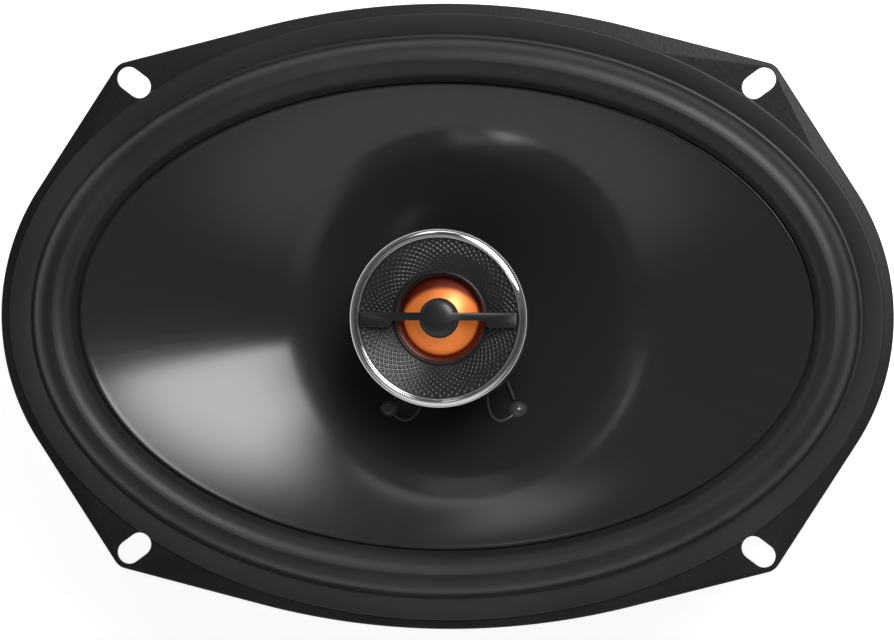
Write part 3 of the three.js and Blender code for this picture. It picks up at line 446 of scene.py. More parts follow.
    @staticmethod
    def turned_to(piece: Piece, matrix: Matrix) -> Piece:
        """Put a piece in its place, and the place into its mesh.

        Args:
            piece: The piece, made at the origin.
            matrix: Its place.

        Returns:
            The same piece.
        """
        Bench.only(piece)
        piece.matrix_world = matrix
        bpy.context.view_layer.update()
        bpy.ops.object.transform_apply(location=True, rotation=True, scale=True)
        return piece

    @staticmethod
    def copied(piece: Piece, name: str, matrix: Matrix) -> Piece:
        """Copy a piece with a mesh of its own, and put the copy in its place.

        Args:
            piece: The pattern, made at the origin.
            name: The copy's name.
            matrix: The copy's place.

        Returns:
            The copy.
        """
        Bench.only(piece)
        bpy.ops.object.duplicate(linked=False)
        copy = bpy.context.object
        copy.name = name
        copy.data.name = name
        return Bench.turned_to(copy, matrix)

    @staticmethod
    def joined(name: str, pieces: Sequence[Piece]) -> Piece:
        """Join several solids into one piece.

        Args:
            name: The new piece's name.
            pieces: The solids.

        Returns:
            The piece.
        """
        Bench.only(pieces[0])
        for piece in pieces:
            piece.select_set(True)
        bpy.ops.object.join()
        result = bpy.context.object
        result.name = name
        result.data.name = name
        return result

    @staticmethod
    def wire(name: str, points: Sequence[Vector], radius: float, sides: int = 2) -> Piece:
        """Make a round wire along a smooth path.

        Args:
            name: The piece's name.
            points: The places that the wire passes through, in millimetres.
            radius: The wire's radius.
            sides: The bevel's resolution: the wire has four more sides than twice this.

        Returns:
            The wire as a closed mesh.
        """
        Bench.clear()
        bpy.ops.curve.primitive_nurbs_path_add()
        curve = bpy.context.object.data
        curve.splines.clear()
        curve.dimensions = "3D"
        spline = curve.splines.new("POLY")
        path = smooth_path(points)
        spline.points.add(len(path) - 1)
        for knot, place in zip(spline.points, path):
            knot.co = (*(place * MM), 1.0)
        curve.bevel_depth = radius * MM
        curve.bevel_resolution = sides
        curve.use_fill_caps = True
        bpy.ops.object.convert(target="MESH")
        result = Bench.named(name)
        Bench.edit()
        bpy.ops.mesh.remove_doubles(threshold=1e-6)
        bpy.ops.mesh.normals_make_consistent(inside=False)
        Bench.leave()
        return result


class Wire:
    """One output socket of a shader graph, with arithmetic."""

    def __init__(self, graph: "Graph", socket: bpy.types.NodeSocket) -> None:
        """Hold a socket of a graph."""
        self.graph = graph
        self.socket = socket

    def _math(self, operation: str, left: "Wire | float", right: "Wire | float") -> "Wire":
        """Add a Math node."""
        return self.graph.node("ShaderNodeMath", {"operation": operation}, {0: left, 1: right})

    def __add__(self, other: "Wire | float") -> "Wire":
        """Sum."""
        return self._math("ADD", self, other)

    def __radd__(self, other: float) -> "Wire":
        """Sum, from the right."""
        return self._math("ADD", other, self)

    def __sub__(self, other: "Wire | float") -> "Wire":
        """Difference."""
        return self._math("SUBTRACT", self, other)

    def __rsub__(self, other: float) -> "Wire":
        """Difference, from the right."""
        return self._math("SUBTRACT", other, self)

    def __mul__(self, other: "Wire | float") -> "Wire":
        """Product."""
        return self._math("MULTIPLY", self, other)

    def __rmul__(self, other: float) -> "Wire":
        """Product, from the right."""
        return self._math("MULTIPLY", other, self)

    def __truediv__(self, other: "Wire | float") -> "Wire":
        """Quotient."""
        return self._math("DIVIDE", self, other)

    def __pow__(self, other: float) -> "Wire":
        """Power."""
        return self._math("POWER", self, other)

    def sine(self) -> "Wire":
        """Sine."""
        return self._math("SINE", self, 0.0)

    def at_least(self, other: "Wire | float") -> "Wire":
        """The greater of two."""
        return self._math("MAXIMUM", self, other)

    def ramp(self, low: float, high: float) -> "Wire":
        """Zero below one value, one above another, smooth between."""
        return self.graph.node(
            "ShaderNodeMapRange", {"interpolation_type": "SMOOTHSTEP"}, {0: self, 1: low, 2: high}
        )


class Graph:
    """A shader graph that ends in one shader: a light's, the room's or a material's."""

    def __init__(self, tree: bpy.types.NodeTree, kind: str) -> None:
        """Hold a tree and find its shader.

        Args:
            tree: The tree of a light, a world or a material.
            kind: The type of the shader in it.
        """
        self.tree = tree
        self.shader = next(node for node in tree.nodes if node.bl_idname == kind)

    @classmethod
    def of_material(cls, name: str, constants: SettingMap) -> "Graph":
        """Start a material.

        Args:
            name: The material's name.
            constants: Values set on the shader's own sockets.

        Returns:
            The graph of its Principled shader.
        """
        material = bpy.data.materials.new(name)
        material.use_nodes = True
        graph = cls(material.node_tree, "ShaderNodeBsdfPrincipled")
        for socket, value in constants.items():
            graph.shader.inputs[socket].default_value = value
        return graph

    def node(
        self,
        kind: str,
        settings: SettingMap | None = None,
        inputs: Mapping[Any, Any] | None = None,
        output: int | str = 0,
    ) -> Wire:
        """Add any node.

        Args:
            kind: The node's type.
            settings: Its settings, set first. A ramp's stops are pairs of a place and a colour.
            inputs: Its sockets' values or wires, by name or number.
            output: The socket that the result reads.

        Returns:
            The chosen output.
        """
        node = self.tree.nodes.new(kind)
        for key, value in (settings or {}).items():
            if key == "stops":
                elements = node.color_ramp.elements
                while len(elements) < len(value):
                    elements.new(1.0)
                for element, (place, color) in zip(elements, value):
                    element.position = place
                    element.color = color
            else:
                setattr(node, key, value)
        for key, value in (inputs or {}).items():
            if isinstance(value, Wire):
                self.tree.links.new(value.socket, node.inputs[key])
            else:
                node.inputs[key].default_value = value
        return Wire(self, node.outputs[output])

    def place(self) -> Wire:
        """The point's place on the piece."""
        return self.node("ShaderNodeTexCoord", output="Object")

    def axis(self, vector: Wire, name: str) -> Wire:
        """One component of a vector."""
        return self.node("ShaderNodeSeparateXYZ", {}, {0: vector}, name)

    def vector(self, x: Wire | float, y: Wire | float, z: Wire | float) -> Wire:
        """A vector from three numbers."""
        return self.node("ShaderNodeCombineXYZ", {}, {0: x, 1: y, 2: z})

    def radius(self, centre: Plan = (0.0, 0.0)) -> Wire:
        """The distance from an upright axis, in metres.

        Args:
            centre: The axis's place in plan, in millimetres.

        Returns:
            The distance.
        """
        place = self.place()
        x = self.axis(place, "X") - centre[0] * MM
        y = self.axis(place, "Y") - centre[1] * MM
        return (x * x + y * y) ** 0.5

    def spokes(self, around: float, along: float) -> Wire:
        """Coordinates for a grain that runs outwards from the axis.

        Args:
            around: The scale across the grain.
            along: The scale along it.

        Returns:
            A vector that has no seam at any angle.
        """
        place = self.place()
        x, y = self.axis(place, "X"), self.axis(place, "Y")
        radius = (x * x + y * y) ** 0.5 + 1e-5
        return self.vector(x / radius * around, y / radius * around, radius * along)

    def noise(
        self, scale: float, detail: float = 3.0, vector: Wire | None = None, rough: float = 0.5
    ) -> Wire:
        """Smooth noise from 0 to 1."""
        return self.node(
            "ShaderNodeTexNoise",
            {},
            {"Vector": vector or self.place(), "Scale": scale, "Detail": detail, "Roughness": rough},
        )

    def cells(self, scale: float, vector: Wire | None = None) -> Wire:
        """The distance to the nearest of many scattered points."""
        return self.node("ShaderNodeTexVoronoi", {}, {"Vector": vector or self.place(), "Scale": scale})

    def mix(self, share: Wire | float, first: Wire | Color, second: Wire | Color) -> Wire:
        """A mix of two colours."""
        return self.node("ShaderNodeMix", {"data_type": "RGBA"}, {0: share, 6: first, 7: second}, 2)

    def feed(self, socket: str, value: Wire) -> None:
        """Drive one of the shader's sockets."""
        self.tree.links.new(value.socket, self.shader.inputs[socket])

    def bump(self, height: Wire, distance: float, strength: float = 1.0) -> None:
        """Raise the surface by a height, with its distance in millimetres."""
        normal = self.node(
            "ShaderNodeBump", {}, {"Height": height, "Distance": distance * MM, "Strength": strength}
        )
        self.feed("Normal", normal)


def gray(level: float, warmth: float = 0.0) -> Color:
    """A near-neutral colour."""
    return (level * (1 + warmth), level, level * (1 - warmth), 1.0)


@dataclass(frozen=True)
class Finish:
    """A surface finish. Each kind draws its own graph."""

    name: str
    color: Color
    roughness: float
    fixed: ClassVar[SettingMap] = {}

    def constants(self) -> dict[str, Any]:
        """Values that are the same all over."""
        return {"Roughness": self.roughness, **self.fixed}

    def tint(self, factor: float, lift: float = 0.0) -> Color:
        """The finish's colour made darker or paler."""
        red, green, blue = (min(1.0, part * factor + lift) for part in self.color[:3])
        return (red, green, blue, 1.0)

    def draw(self, graph: Graph) -> None:
        """Draw the finish into a graph."""
        raise NotImplementedError

    def material(self) -> bpy.types.Material:
        """The finish's material, made the first time that it is asked for."""
        if self.name not in bpy.data.materials:
            self.draw(Graph.of_material(self.name, self.constants()))
        return bpy.data.materials[self.name]


@dataclass(frozen=True)
class Paint(Finish):
    """Baked paint on pressed steel: orange peel, patches of paler dust and faint scuffs."""

    peel: float = 0.05
    fixed: ClassVar[SettingMap] = {"Specular IOR Level": 0.36}

    def draw(self, graph: Graph) -> None:
        """Draw the finish.

        Args:
            graph: The material's graph.
        """
        cloud = graph.noise(28.0, 4.0)
        peel = graph.noise(900.0, 2.0)
        fleck = graph.noise(5200.0, 1.0)
        dust = self.tint(1.7, 0.002)
        graph.feed("Base Color", graph.mix(cloud.ramp(0.35, 0.8) * 0.6, self.color, dust))
        graph.feed("Roughness", self.roughness + (cloud - 0.5) * 0.22 + (fleck - 0.5) * 0.1)
        graph.bump(peel + fleck * 0.35, self.peel)


@dataclass(frozen=True)
class Plate(Finish):
    """Zinc-plated or nickel-plated metal, turned on a lathe: fine rings and cloudy plating."""

    rings: float = 2600.0
    fixed: ClassVar[SettingMap] = {"Metallic": 1.0}

    def draw(self, graph: Graph) -> None:
        """Draw the finish.

        Args:
            graph: The material's graph.
        """
        radius = graph.radius()
        height = graph.axis(graph.place(), "Z")
        lines = graph.noise(1.0, 2.0, graph.vector(radius * self.rings, height * self.rings, 0.0))
        cloud = graph.noise(60.0, 4.0)
        stain = self.tint(0.62)
        graph.feed("Base Color", graph.mix(cloud.ramp(0.45, 0.75) * 0.55, self.color, stain))
        graph.feed("Roughness", self.roughness + (cloud - 0.5) * 0.25 + (lines - 0.5) * 0.16)
        graph.bump(lines + cloud * 0.5, 0.02)


@dataclass(frozen=True)
class Ferrite(Finish):
    """Sintered ferrite: matte, grainy, with small pits and paler chips."""

    def draw(self, graph: Graph) -> None:
        """Draw the finish.

        Args:
            graph: The material's graph.
        """
        grain = graph.noise(2400.0, 3.0)
        pits = graph.cells(700.0).ramp(0.05, 0.22)
        chips = graph.noise(75.0, 6.0).ramp(0.62, 0.72)
        pale = self.tint(2.6)
        graph.feed("Base Color", graph.mix(grain * 0.5 + chips * 0.5, self.color, pale))
        graph.feed("Roughness", self.roughness - grain * 0.15 + chips * 0.1)
        graph.bump(grain * 0.6 + pits * 0.8 - chips * 0.3, 0.06)


@dataclass(frozen=True)
class Rubber(Finish):
    """Moulded butyl rubber: soft sheen, fine pebbling and a bloom that dulls it in patches."""

    fixed: ClassVar[SettingMap] = {"Specular IOR Level": 0.42}

    def draw(self, graph: Graph) -> None:
        """Draw the finish.

        Args:
            graph: The material's graph.
        """
        bloom = graph.noise(22.0, 4.0)
        pebble = graph.noise(2100.0, 3.0)
        drawn = graph.noise(1.0, 2.0, graph.spokes(46.0, 700.0))
        dull = self.tint(1.7)
        graph.feed("Base Color", graph.mix(bloom.ramp(0.3, 0.8) * 0.7, self.color, dull))
        graph.feed("Roughness", self.roughness + (bloom - 0.5) * 0.14 + (pebble - 0.5) * 0.1)
        graph.bump(pebble + drawn * 0.4, 0.022)


@dataclass(frozen=True)
class DrawnPoly(Finish):
    """Glossy polypropylene, drawn outwards: hair-fine spokes under a clear gloss."""

    fixed: ClassVar[SettingMap] = {"IOR": 1.5}

    def draw(self, graph: Graph) -> None:
        """Draw the finish.

        Args:
            graph: The material's graph.
        """
        hairs = graph.noise(1.0, 4.0, graph.spokes(170.0, 60.0), 0.62)
        broad = graph.noise(1.0, 2.0, graph.spokes(26.0, 24.0))
        smear = graph.noise(34.0, 3.0)
        bright = self.tint(1.6)
        graph.feed("Base Color", graph.mix(hairs * 0.5 + broad * 0.3, self.color, bright))
        graph.feed("Roughness", self.roughness + (hairs - 0.5) * 0.08 + (smear - 0.5) * 0.04)
        graph.bump(hairs * 0.6 + broad * 0.3, 0.0045)


@dataclass(frozen=True)
class Moulded(Finish):
    """Moulded plastic with a fine spark-eroded grain."""

    grain: float = 0.03

    def draw(self, graph: Graph) -> None:
        """Draw the finish.

        Args:
            graph: The material's graph.
        """
        grain = graph.noise(3200.0, 2.0)
        flow = graph.noise(90.0, 3.0)
        pale = self.tint(1.5, 0.002)
        graph.feed("Base Color", graph.mix(flow.ramp(0.35, 0.8) * 0.5, self.color, pale))
        graph.feed("Roughness", self.roughness + (grain - 0.5) * 0.18 + (flow - 0.5) * 0.08)
        graph.bump(grain + flow * 0.3, self.grain)


@dataclass(frozen=True)
class Polished(Finish):
    """Bright chrome plating, with faint polishing lines and the odd smudge."""

    fixed: ClassVar[SettingMap] = {"Metallic": 1.0}

    def draw(self, graph: Graph) -> None:
        """Draw the finish.

        Args:
            graph: The material's graph.
        """
        smudge = graph.noise(120.0, 4.0)
        height = graph.axis(graph.place(), "Z")
        lines = graph.noise(1.0, 2.0, graph.vector(graph.radius() * 5200.0, height * 5200.0, 0.0))
        tint = self.tint(0.9)
        graph.feed("Base Color", graph.mix(smudge * 0.5, self.color, tint))
        graph.feed("Roughness", self.roughness + smudge.ramp(0.5, 0.85) * 0.07 + (lines - 0.5) * 0.03)
        graph.bump(lines, 0.0015)


@dataclass(frozen=True)
class Film(Finish):
    """Thin translucent film, backed by metal, coloured with painted light: a paler crown and a darker edge.

    The distance from the axis sets the colour, from the crown's pale middle, a painted highlight, to the
    dark edge, painted shade. One more dark crescent, a painted shadow, lies on the side that the painted
    shadow's centre points away from. The film also glows, which is painted light. All are in millimetres.
    """

    # Painted shade: the dark colour that the film takes towards its edge, where it sinks into shade.
    painted_shade_edge_color: Color = (0.11, 0.008, 0.002, 1.0)
    inner: float = 9.2
    outer: float = 10.3
    metal: float = 0.5
    # Painted light: the film glows by this emission strength.
    glow: float = 0.2
    # Painted highlight: the radii over which the crown turns paler.
    crown: Plan = (4.6, 7.0)
    # The centre and radii of a dark crescent of painted shadow on the film's far side from this centre.
    painted_shadow_centre: Plan = (0.3, -3.7)
    shade: Plan = (10.4, 12.2)
    fixed: ClassVar[SettingMap] = {"Coat Weight": 0.08, "Coat Roughness": 0.1}

    def constants(self) -> dict[str, Any]:
        """Values that are the same all over."""
        # The emission strength makes the film glow: painted light.
        return {**super().constants(), "Metallic": self.metal, "Emission Strength": self.glow}

    def draw(self, graph: Graph) -> None:
        """Draw the finish.

        Args:
            graph: The material's graph.
        """
        # Painted shadow: a dark crescent on the side away from the painted shadow's centre.
        crescent = graph.radius(self.painted_shadow_centre).ramp(*(edge * MM for edge in self.shade))
        # Painted shade: the colour darkens towards the edge, and the painted shadow joins it.
        rim = graph.radius().ramp(self.inner * MM, self.outer * MM).at_least(crescent)
        # Painted highlight: the crown is paler near the axis.
        crown = 1 - graph.radius().ramp(*(edge * MM for edge in self.crown))
        grain = graph.noise(1800.0, 2.0)
        pulls = graph.noise(1.0, 3.0, graph.spokes(12.0, 140.0))
        warm = self.tint(0.86)
        pale = (min(1.0, self.color[0] * 1.1), self.color[1] * 1.6, self.color[2] * 2.4, 1.0)
        body = graph.mix(pulls * 0.6, graph.mix(crown * 0.7, self.color, pale), warm)
        color = graph.mix(rim, body, self.painted_shade_edge_color)
        graph.feed("Base Color", color)
        # The same colour feeds the emission, so the film glows: painted light.
        graph.feed("Emission Color", color)
        graph.feed("Roughness", self.roughness + (grain - 0.5) * 0.1)
        graph.bump(grain * 0.4 + pulls, 0.008)


@dataclass(frozen=True)
class Woven(Finish):
    """Open cotton cloth stiffened with resin: two crossing threads, stained where the resin pools."""

    pitch: float = 0.55

    def draw(self, graph: Graph) -> None:
        """Draw the finish.

        Args:
            graph: The material's graph.
        """
        place = graph.place()
        turns = TURN / (self.pitch * MM)
        warp = (graph.axis(place, "X") * turns).sine() * 0.5 + 0.5
        weft = (graph.axis(place, "Y") * turns).sine() * 0.5 + 0.5
        over = warp * (1 - weft) + weft * (1 - warp)
        resin = graph.noise(70.0, 4.0).ramp(0.35, 0.7)
        dark = self.tint(0.45)
        pores = over.ramp(0.1, 0.5)
        graph.feed("Base Color", graph.mix(pores * 0.7 + (1 - resin) * 0.3, dark, self.color))
        graph.feed("Roughness", self.roughness - resin * 0.25 + over * 0.1)
        graph.bump(over + graph.noise(3000.0, 2.0) * 0.3, 0.12)


@dataclass(frozen=True)
class Felt(Finish):
    """Pressed felt: short tangled fibres."""

    def draw(self, graph: Graph) -> None:
        """Draw the finish.

        Args:
            graph: The material's graph.
        """
        fibres = graph.noise(1500.0, 6.0, None, 0.75)
        tufts = graph.noise(300.0, 3.0)
        pale = self.tint(2.4)
        graph.feed("Base Color", graph.mix(fibres.ramp(0.35, 0.7), self.color, pale))
        graph.feed("Roughness", self.roughness - tufts * 0.08)
        graph.bump(fibres + tufts * 0.5, 0.2)


@dataclass(frozen=True)
class Wound(Finish):
    """Enamelled wire wound side by side along the axis, or metal foil with a faint draw grain."""

    pitch: float = 0.25
    fixed: ClassVar[SettingMap] = {"Metallic": 0.9}

    def draw(self, graph: Graph) -> None:
        """Draw the finish.

        Args:
            graph: The material's graph.
        """
        height = graph.axis(graph.place(), "Z")
        turns = (height * (TURN / (self.pitch * MM))).sine() * 0.5 + 0.5
        tone = graph.noise(90.0, 3.0)
        dark = self.tint(0.5)
        graph.feed("Base Color", graph.mix(turns.ramp(0.0, 0.5) * 0.7 + tone * 0.3, dark, self.color))
        graph.feed("Roughness", self.roughness + (tone - 0.5) * 0.2)
        graph.bump(turns, 0.05)


@dataclass(frozen=True)
class Braid(Finish):
    """Flat tinsel strands braided round a textile core."""

    fixed: ClassVar[SettingMap] = {"Metallic": 0.75}

    def draw(self, graph: Graph) -> None:
        """Draw the finish.

        Args:
            graph: The material's graph.
        """
        place = graph.place()
        x, y, z = (graph.axis(place, name) for name in "XYZ")
        left = ((x + y) * 5200.0 + z * 5200.0).sine() * 0.5 + 0.5
        right = ((x - y) * 5200.0 + z * 5200.0).sine() * 0.5 + 0.5
        weave = left.at_least(right)
        dark = self.tint(0.3)
        graph.feed("Base Color", graph.mix(weave.ramp(0.2, 0.8), dark, self.color))
        graph.feed("Roughness", self.roughness + (1 - weave) * 0.3)
        graph.bump(weave, 0.12)


@dataclass(frozen=True)
class Laminate(Finish):
    """Resin-bonded paper board: mottled layers and a dry saw-cut edge."""

    def draw(self, graph: Graph) -> None:
        """Draw the finish.

        Args:
            graph: The material's graph.
        """
        fibre = graph.noise(400.0, 5.0, None, 0.7)
        mottle = graph.noise(120.0, 3.0)
        pale = self.tint(1.7)
        graph.feed("Base Color", graph.mix(fibre * 0.6 + mottle * 0.4, self.color, pale))
        graph.feed("Roughness", self.roughness + (fibre - 0.5) * 0.3)
        graph.bump(fibre, 0.04)


@dataclass(frozen=True)
class Glue(Finish):
    """A poured bead of black glue: wet-looking, slightly lumpy."""

    fixed: ClassVar[SettingMap] = {"Coat Weight": 0.5, "Coat Roughness": 0.08}

    def draw(self, graph: Graph) -> None:
        """Draw the finish.

        Args:
            graph: The material's graph.
        """
        lumps = graph.noise(420.0, 3.0)
        skin = graph.noise(1700.0, 2.0)
        pale = self.tint(1.8)
        graph.feed("Base Color", graph.mix(lumps * 0.6, self.color, pale))
        graph.feed("Roughness", self.roughness + (skin - 0.5) * 0.2)
        graph.bump(lumps + skin * 0.1, 0.08)


@dataclass(frozen=True)
class PaleFloor(Finish):
    """A plain pale studio floor, lit faintly from beneath so that shadows stay soft."""

    glow: float = 0.84

    def constants(self) -> dict[str, Any]:
        """Values that are the same all over."""
        return {**super().constants(), "Emission Strength": self.glow}

    def draw(self, graph: Graph) -> None:
        """Draw the finish.

        Args:
            graph: The material's graph.
        """
        tone = graph.noise(2.0, 3.0)
        shade = self.tint(0.98)
        surface = graph.mix(tone, self.color, shade)
        graph.feed("Base Color", surface)
        graph.feed("Emission Color", surface)
        graph.feed("Roughness", self.roughness + (tone - 0.5) * 0.05)


BLACK_PAINT = Paint("black_powder_paint", gray(0.0052), 0.42)
ZINC = Plate("zinc_plate", (0.36, 0.37, 0.4, 1.0), 0.38)
NICKEL = Plate("nickel_plate", (0.6, 0.58, 0.53, 1.0), 0.26)
FERRITE = Ferrite("sintered_ferrite", gray(0.026), 0.72)
BUTYL = Rubber("butyl_rubber", gray(0.014), 0.42)
CONE_POLY = DrawnPoly("drawn_polypropylene", gray(0.02), 0.15)
PLASTIC = Moulded("moulded_plastic", gray(0.012), 0.4)
HORN_PLASTIC = Moulded("horn_plastic", gray(0.016), 0.24, 0.004)
PLUG_PLASTIC = Moulded("satin_plastic", gray(0.014, -0.06), 0.3, 0.012)
CHROME = Polished("chrome_plate", gray(0.86, -0.01), 0.07)
# The dome's colour carries painted light: a pale painted highlight on the crown, painted shade at the edge,
# a painted shadow crescent, and a glow.
DOME_FILM = Film("orange_film", (1.0, 0.25, 0.05, 1.0), 0.36)
# The roll's film darkens towards its edge and on one side, which is painted shade, and glows faintly, which
# is painted light.
ROLL_FILM = Film(
    "dark_film",
    (0.12, 0.009, 0.003, 1.0),
    0.36,
    painted_shade_edge_color=(0.012, 0.004, 0.003, 1.0),
    inner=10.7,
    outer=11.7,
    metal=0.2,
)
SPIDER_CLOTH = Woven("spider_cloth", (0.5, 0.34, 0.13, 1.0), 0.82)
FELT = Felt("pressed_felt", gray(0.012), 0.95)
FOIL = Wound("coil_foil", (0.62, 0.63, 0.65, 1.0), 0.36, 3.1)
COPPER = Wound("enamelled_copper", (0.55, 0.2, 0.09, 1.0), 0.3)
BRASS = Plate("tinned_brass", (0.62, 0.44, 0.17, 1.0), 0.3)
BOARD = Laminate("phenolic_paper", (0.075, 0.03, 0.012, 1.0), 0.6)
SLEEVE = Moulded("capacitor_sleeve", (0.008, 0.014, 0.05, 1.0), 0.34, 0.008)
RED_WIRE = Moulded("red_insulation", (0.32, 0.012, 0.01, 1.0), 0.42, 0.01)
BLACK_WIRE = Moulded("black_insulation", gray(0.009), 0.42, 0.01)
TINSEL = Braid("tinsel_braid", (0.5, 0.33, 0.16, 1.0), 0.45)
GLUE = Glue("black_glue", gray(0.005), 0.27)
FLOOR = PaleFloor("pale_floor", gray(0.9), 0.7)


class Assembly:
    """What the sub-assemblies share: dressing a piece and handing it to its body."""

    @staticmethod
    def hand_over(
        piece: Piece,
        finish: Finish,
        slot: str,
        nodes: Sequence[str],
        body: Body | None = Body.FRAME,
        angle: float = 32.0,
    ) -> None:
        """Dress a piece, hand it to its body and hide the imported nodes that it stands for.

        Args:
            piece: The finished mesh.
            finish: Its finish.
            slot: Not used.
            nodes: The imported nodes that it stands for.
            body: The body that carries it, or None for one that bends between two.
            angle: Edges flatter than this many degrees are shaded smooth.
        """
        Bench.only(piece)
        bpy.ops.object.shade_smooth_by_angle(angle=math.radians(angle))
        piece.data.materials.clear()
        piece.data.materials.append(finish.material())
        if body:
            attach(piece, body.value)
        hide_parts(*nodes)
        LOG.info("%s: %d faces", piece.name, len(piece.data.polygons))

    @staticmethod
    def dress(node: str, finish: Finish) -> None:
        """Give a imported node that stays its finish.

        Args:
            node: The node.
            finish: Its finish.
        """
        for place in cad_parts[node].material_slots:
            place.material = finish.material()
        LOG.info("%s: packed shape kept", node)


@dataclass
class OvalPlan:
    """The oval that the flange, the roll and the cone share."""

    half_length: float
    half_width: float

    def ring(self, inset: float, height: float) -> Ring:
        """A ring lying a distance in from the flange's edge."""
        return Ring(self.half_length - inset, self.half_width - inset, height)


def oval_plan() -> OvalPlan:
    """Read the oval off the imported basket."""
    high = node_span("basket")[1]
    return OvalPlan(high.x, high.y)


@dataclass
class Basket(Assembly):
    """The pressed steel basket: a slotted flange and the windowed bowl behind it."""

    plan: OvalPlan
    sheet: float = 1.2
    end_arc: float = 61.0
    side_arc: float = 197.0
    ear_radius: float = 4.5
    slot_length: float = 9.7
    slot_width: float = 6.2
    slot_angle: float = 36.6
    edge_margin: float = 2.4
    wall_inset: float = 8.7
    landing_inner: float = 40.3
    landing_outer: float = 47.3
    landing: float = 38.0
    floor_hole: float = 18.5
    rivet_circle: float = 29.98
    window_corner: float = 4.0
    leg_width: float = 12.0
    board_leg: float = 270.0
    board_leg_width: float = 22.0
    ramp_top: float = 68.0
    wall_foot: float = 70.6
    vents: int = 8
    rivets: int = 4
    leg_angles: tuple[float, ...] = (0.0, 38.0, 90.0, 142.0, 180.0, 218.0, 270.0, 322.0)

    def slot_place(self) -> tuple[float, float, float]:
        """Work out where a screw slot lies, in the first quadrant.

        Returns:
            Its middle's radius, the radius of its outer end's centre, and its angle.
        """
        seat = self.plan.ring(self.edge_margin, 0.0)
        angle = math.radians(self.slot_angle)
        rim = 1 / math.hypot(math.cos(angle) / seat.long, math.sin(angle) / seat.wide)
        middle = rim + self.slot_length / 2
        return middle, middle + (self.slot_length - self.slot_width) / 2, angle

    def outline(self) -> list[Plan]:
        """Draw the flange: four arcs, with an ear where the long and short sides meet.

        Returns:
            The outline, from the right-hand end round to the same place.
        """
        _, out, angle = self.slot_place()
        ear = (out * math.cos(angle), out * math.sin(angle))
        end = (self.plan.half_length - self.end_arc, 0.0)
        side = (0.0, self.plan.half_width - self.side_arc)

        def bearing(centre: Plan, radius: float, sign: int) -> float:
            """Where the ear's arc leaves a larger arc."""
            dx, dy = ear[0] - centre[0], ear[1] - centre[1]
            return math.atan2(dy, dx) + sign * math.acos((radius - self.ear_radius) / math.hypot(dx, dy))

        leave, join = bearing(end, self.end_arc, -1), bearing(side, self.side_arc, 1)
        spans = (
            (end, self.end_arc, 0.0, leave, 26),
            (ear, self.ear_radius, leave, join, 12),
            (side, self.side_arc, join, math.pi / 2, 18),
        )
        quarter: list[Plan] = []
        for centre, reach, *turn in spans:
            quarter += arc(centre, (reach, reach), *turn)[:-1]
        quarter.append((0.0, self.plan.half_width))
        left = [(-x, y) for x, y in reversed(quarter[:-1])]
        lower = [(-x, -y) for x, y in quarter[1:]]
        right = [(x, -y) for x, y in reversed(quarter[1:-1])]
        return quarter + left + lower + right

    def flange(self) -> Piece:
        """Make the flat flange, with its edges rounded and the bowl's mouth open.

        Returns:
            The flange.
        """
        high = node_heights("basket")[1]
        flange = Bench.prism("flange", self.outline(), high - self.sheet, high)
        Bench.bevel_edges(flange, lambda place, way: abs(way.z) < 0.1, 0.5)
        mouth = self.plan.ring(self.wall_inset + self.sheet / 2, high - 3)
        plug = Bench.loft("mouth", [mouth, Ring(mouth.long, mouth.wide, high + 3)], 160, Ends.CAPPED)
        Bench.boolean(flange, plug, "DIFFERENCE")
        return flange

    def bowl(self) -> Piece:
        """Make the bowl: rim wall, ramp, spider landing and floor.

        Returns:
            The bowl, under the piece's own name.
        """
        low, high = node_heights("basket")
        ring, wall, sheet = self.plan.ring, self.wall_inset, self.sheet
        inner, outer, landing = self.landing_inner, self.landing_outer, self.landing
        corners = [
            circle(self.floor_hole, low),
            circle(inner + sheet, low),
            circle(inner + sheet, landing - sheet),
            circle(outer, landing - sheet),
            circle(outer + 1.6, landing + 1.6),
            ring(wall + 2.6, self.ramp_top),
            ring(wall + 0.6, self.wall_foot),
            ring(wall, high - 0.02),
            ring(wall + sheet, high - 0.02),
            ring(wall + 0.6 + sheet, 72.0),
            ring(wall + 2.6 + sheet, 69.4),
            circle(outer + 0.4, landing + 3.0),
            circle(outer, landing),
            circle(inner, landing),
            circle(inner, low + sheet),
            circle(self.floor_hole, low + sheet),
        ]
        # Make the two slack leads, which run between the board and the cone.
        return Bench.loft("basket", softened(corners, 0.9, 2), 160)

    def window(self, start: int) -> Piece:
        """Make the cutter for the window after one leg, with rounded corners.

        Args:
            start: Which leg the window follows.

        Returns:
            The cutter.
        """
        count = len(self.leg_angles)
        inner = self.landing_outer + 4.6
        oval = self.plan.ring(self.wall_inset + 7.2, 0.0)
        sides = []
        for index, sign in ((start, 1), ((start + 1) % count, -1)):
            angle = math.radians(self.leg_angles[index])
            has_board = self.leg_angles[index] == self.board_leg
            half = (self.board_leg_width if has_board else self.leg_width) / 2
            way = Vector((math.cos(angle), math.sin(angle)))
            across = Vector((-math.sin(angle), math.cos(angle)))
            near = way * math.sqrt(inner**2 - half**2) + across * half * sign
            far = near.copy()
            while (far.x / oval.long) ** 2 + (far.y / oval.wide) ** 2 < 1:
                far += way * 0.05
            sides.append((near, far))
        (near_a, far_a), (near_b, far_b) = sides
        from_angle, to_angle = (math.atan2(p.y / oval.wide, p.x / oval.long) for p in (far_a, far_b))
        to_angle += TURN if to_angle < from_angle else 0.0
        in_a, in_b = (math.atan2(p.y, p.x) for p in (near_a, near_b))
        in_b += TURN if in_b < in_a else 0.0
        outer_edge = arc((0.0, 0.0), (oval.long, oval.wide), from_angle, to_angle, 14)
        inner_edge = arc((0.0, 0.0), (inner, inner), in_b, in_a, 14)
        cutter = Bench.prism("window", outer_edge + inner_edge, self.landing + 0.6, self.wall_foot)
        corners = (near_a, far_a, near_b, far_b)
        Bench.bevel_edges(
            cutter,
            lambda place, way: abs(way.z) > 0.9
            and any((place.xy - corner).length < 0.3 for corner in corners),
            self.window_corner,
            5,
        )
        return cutter

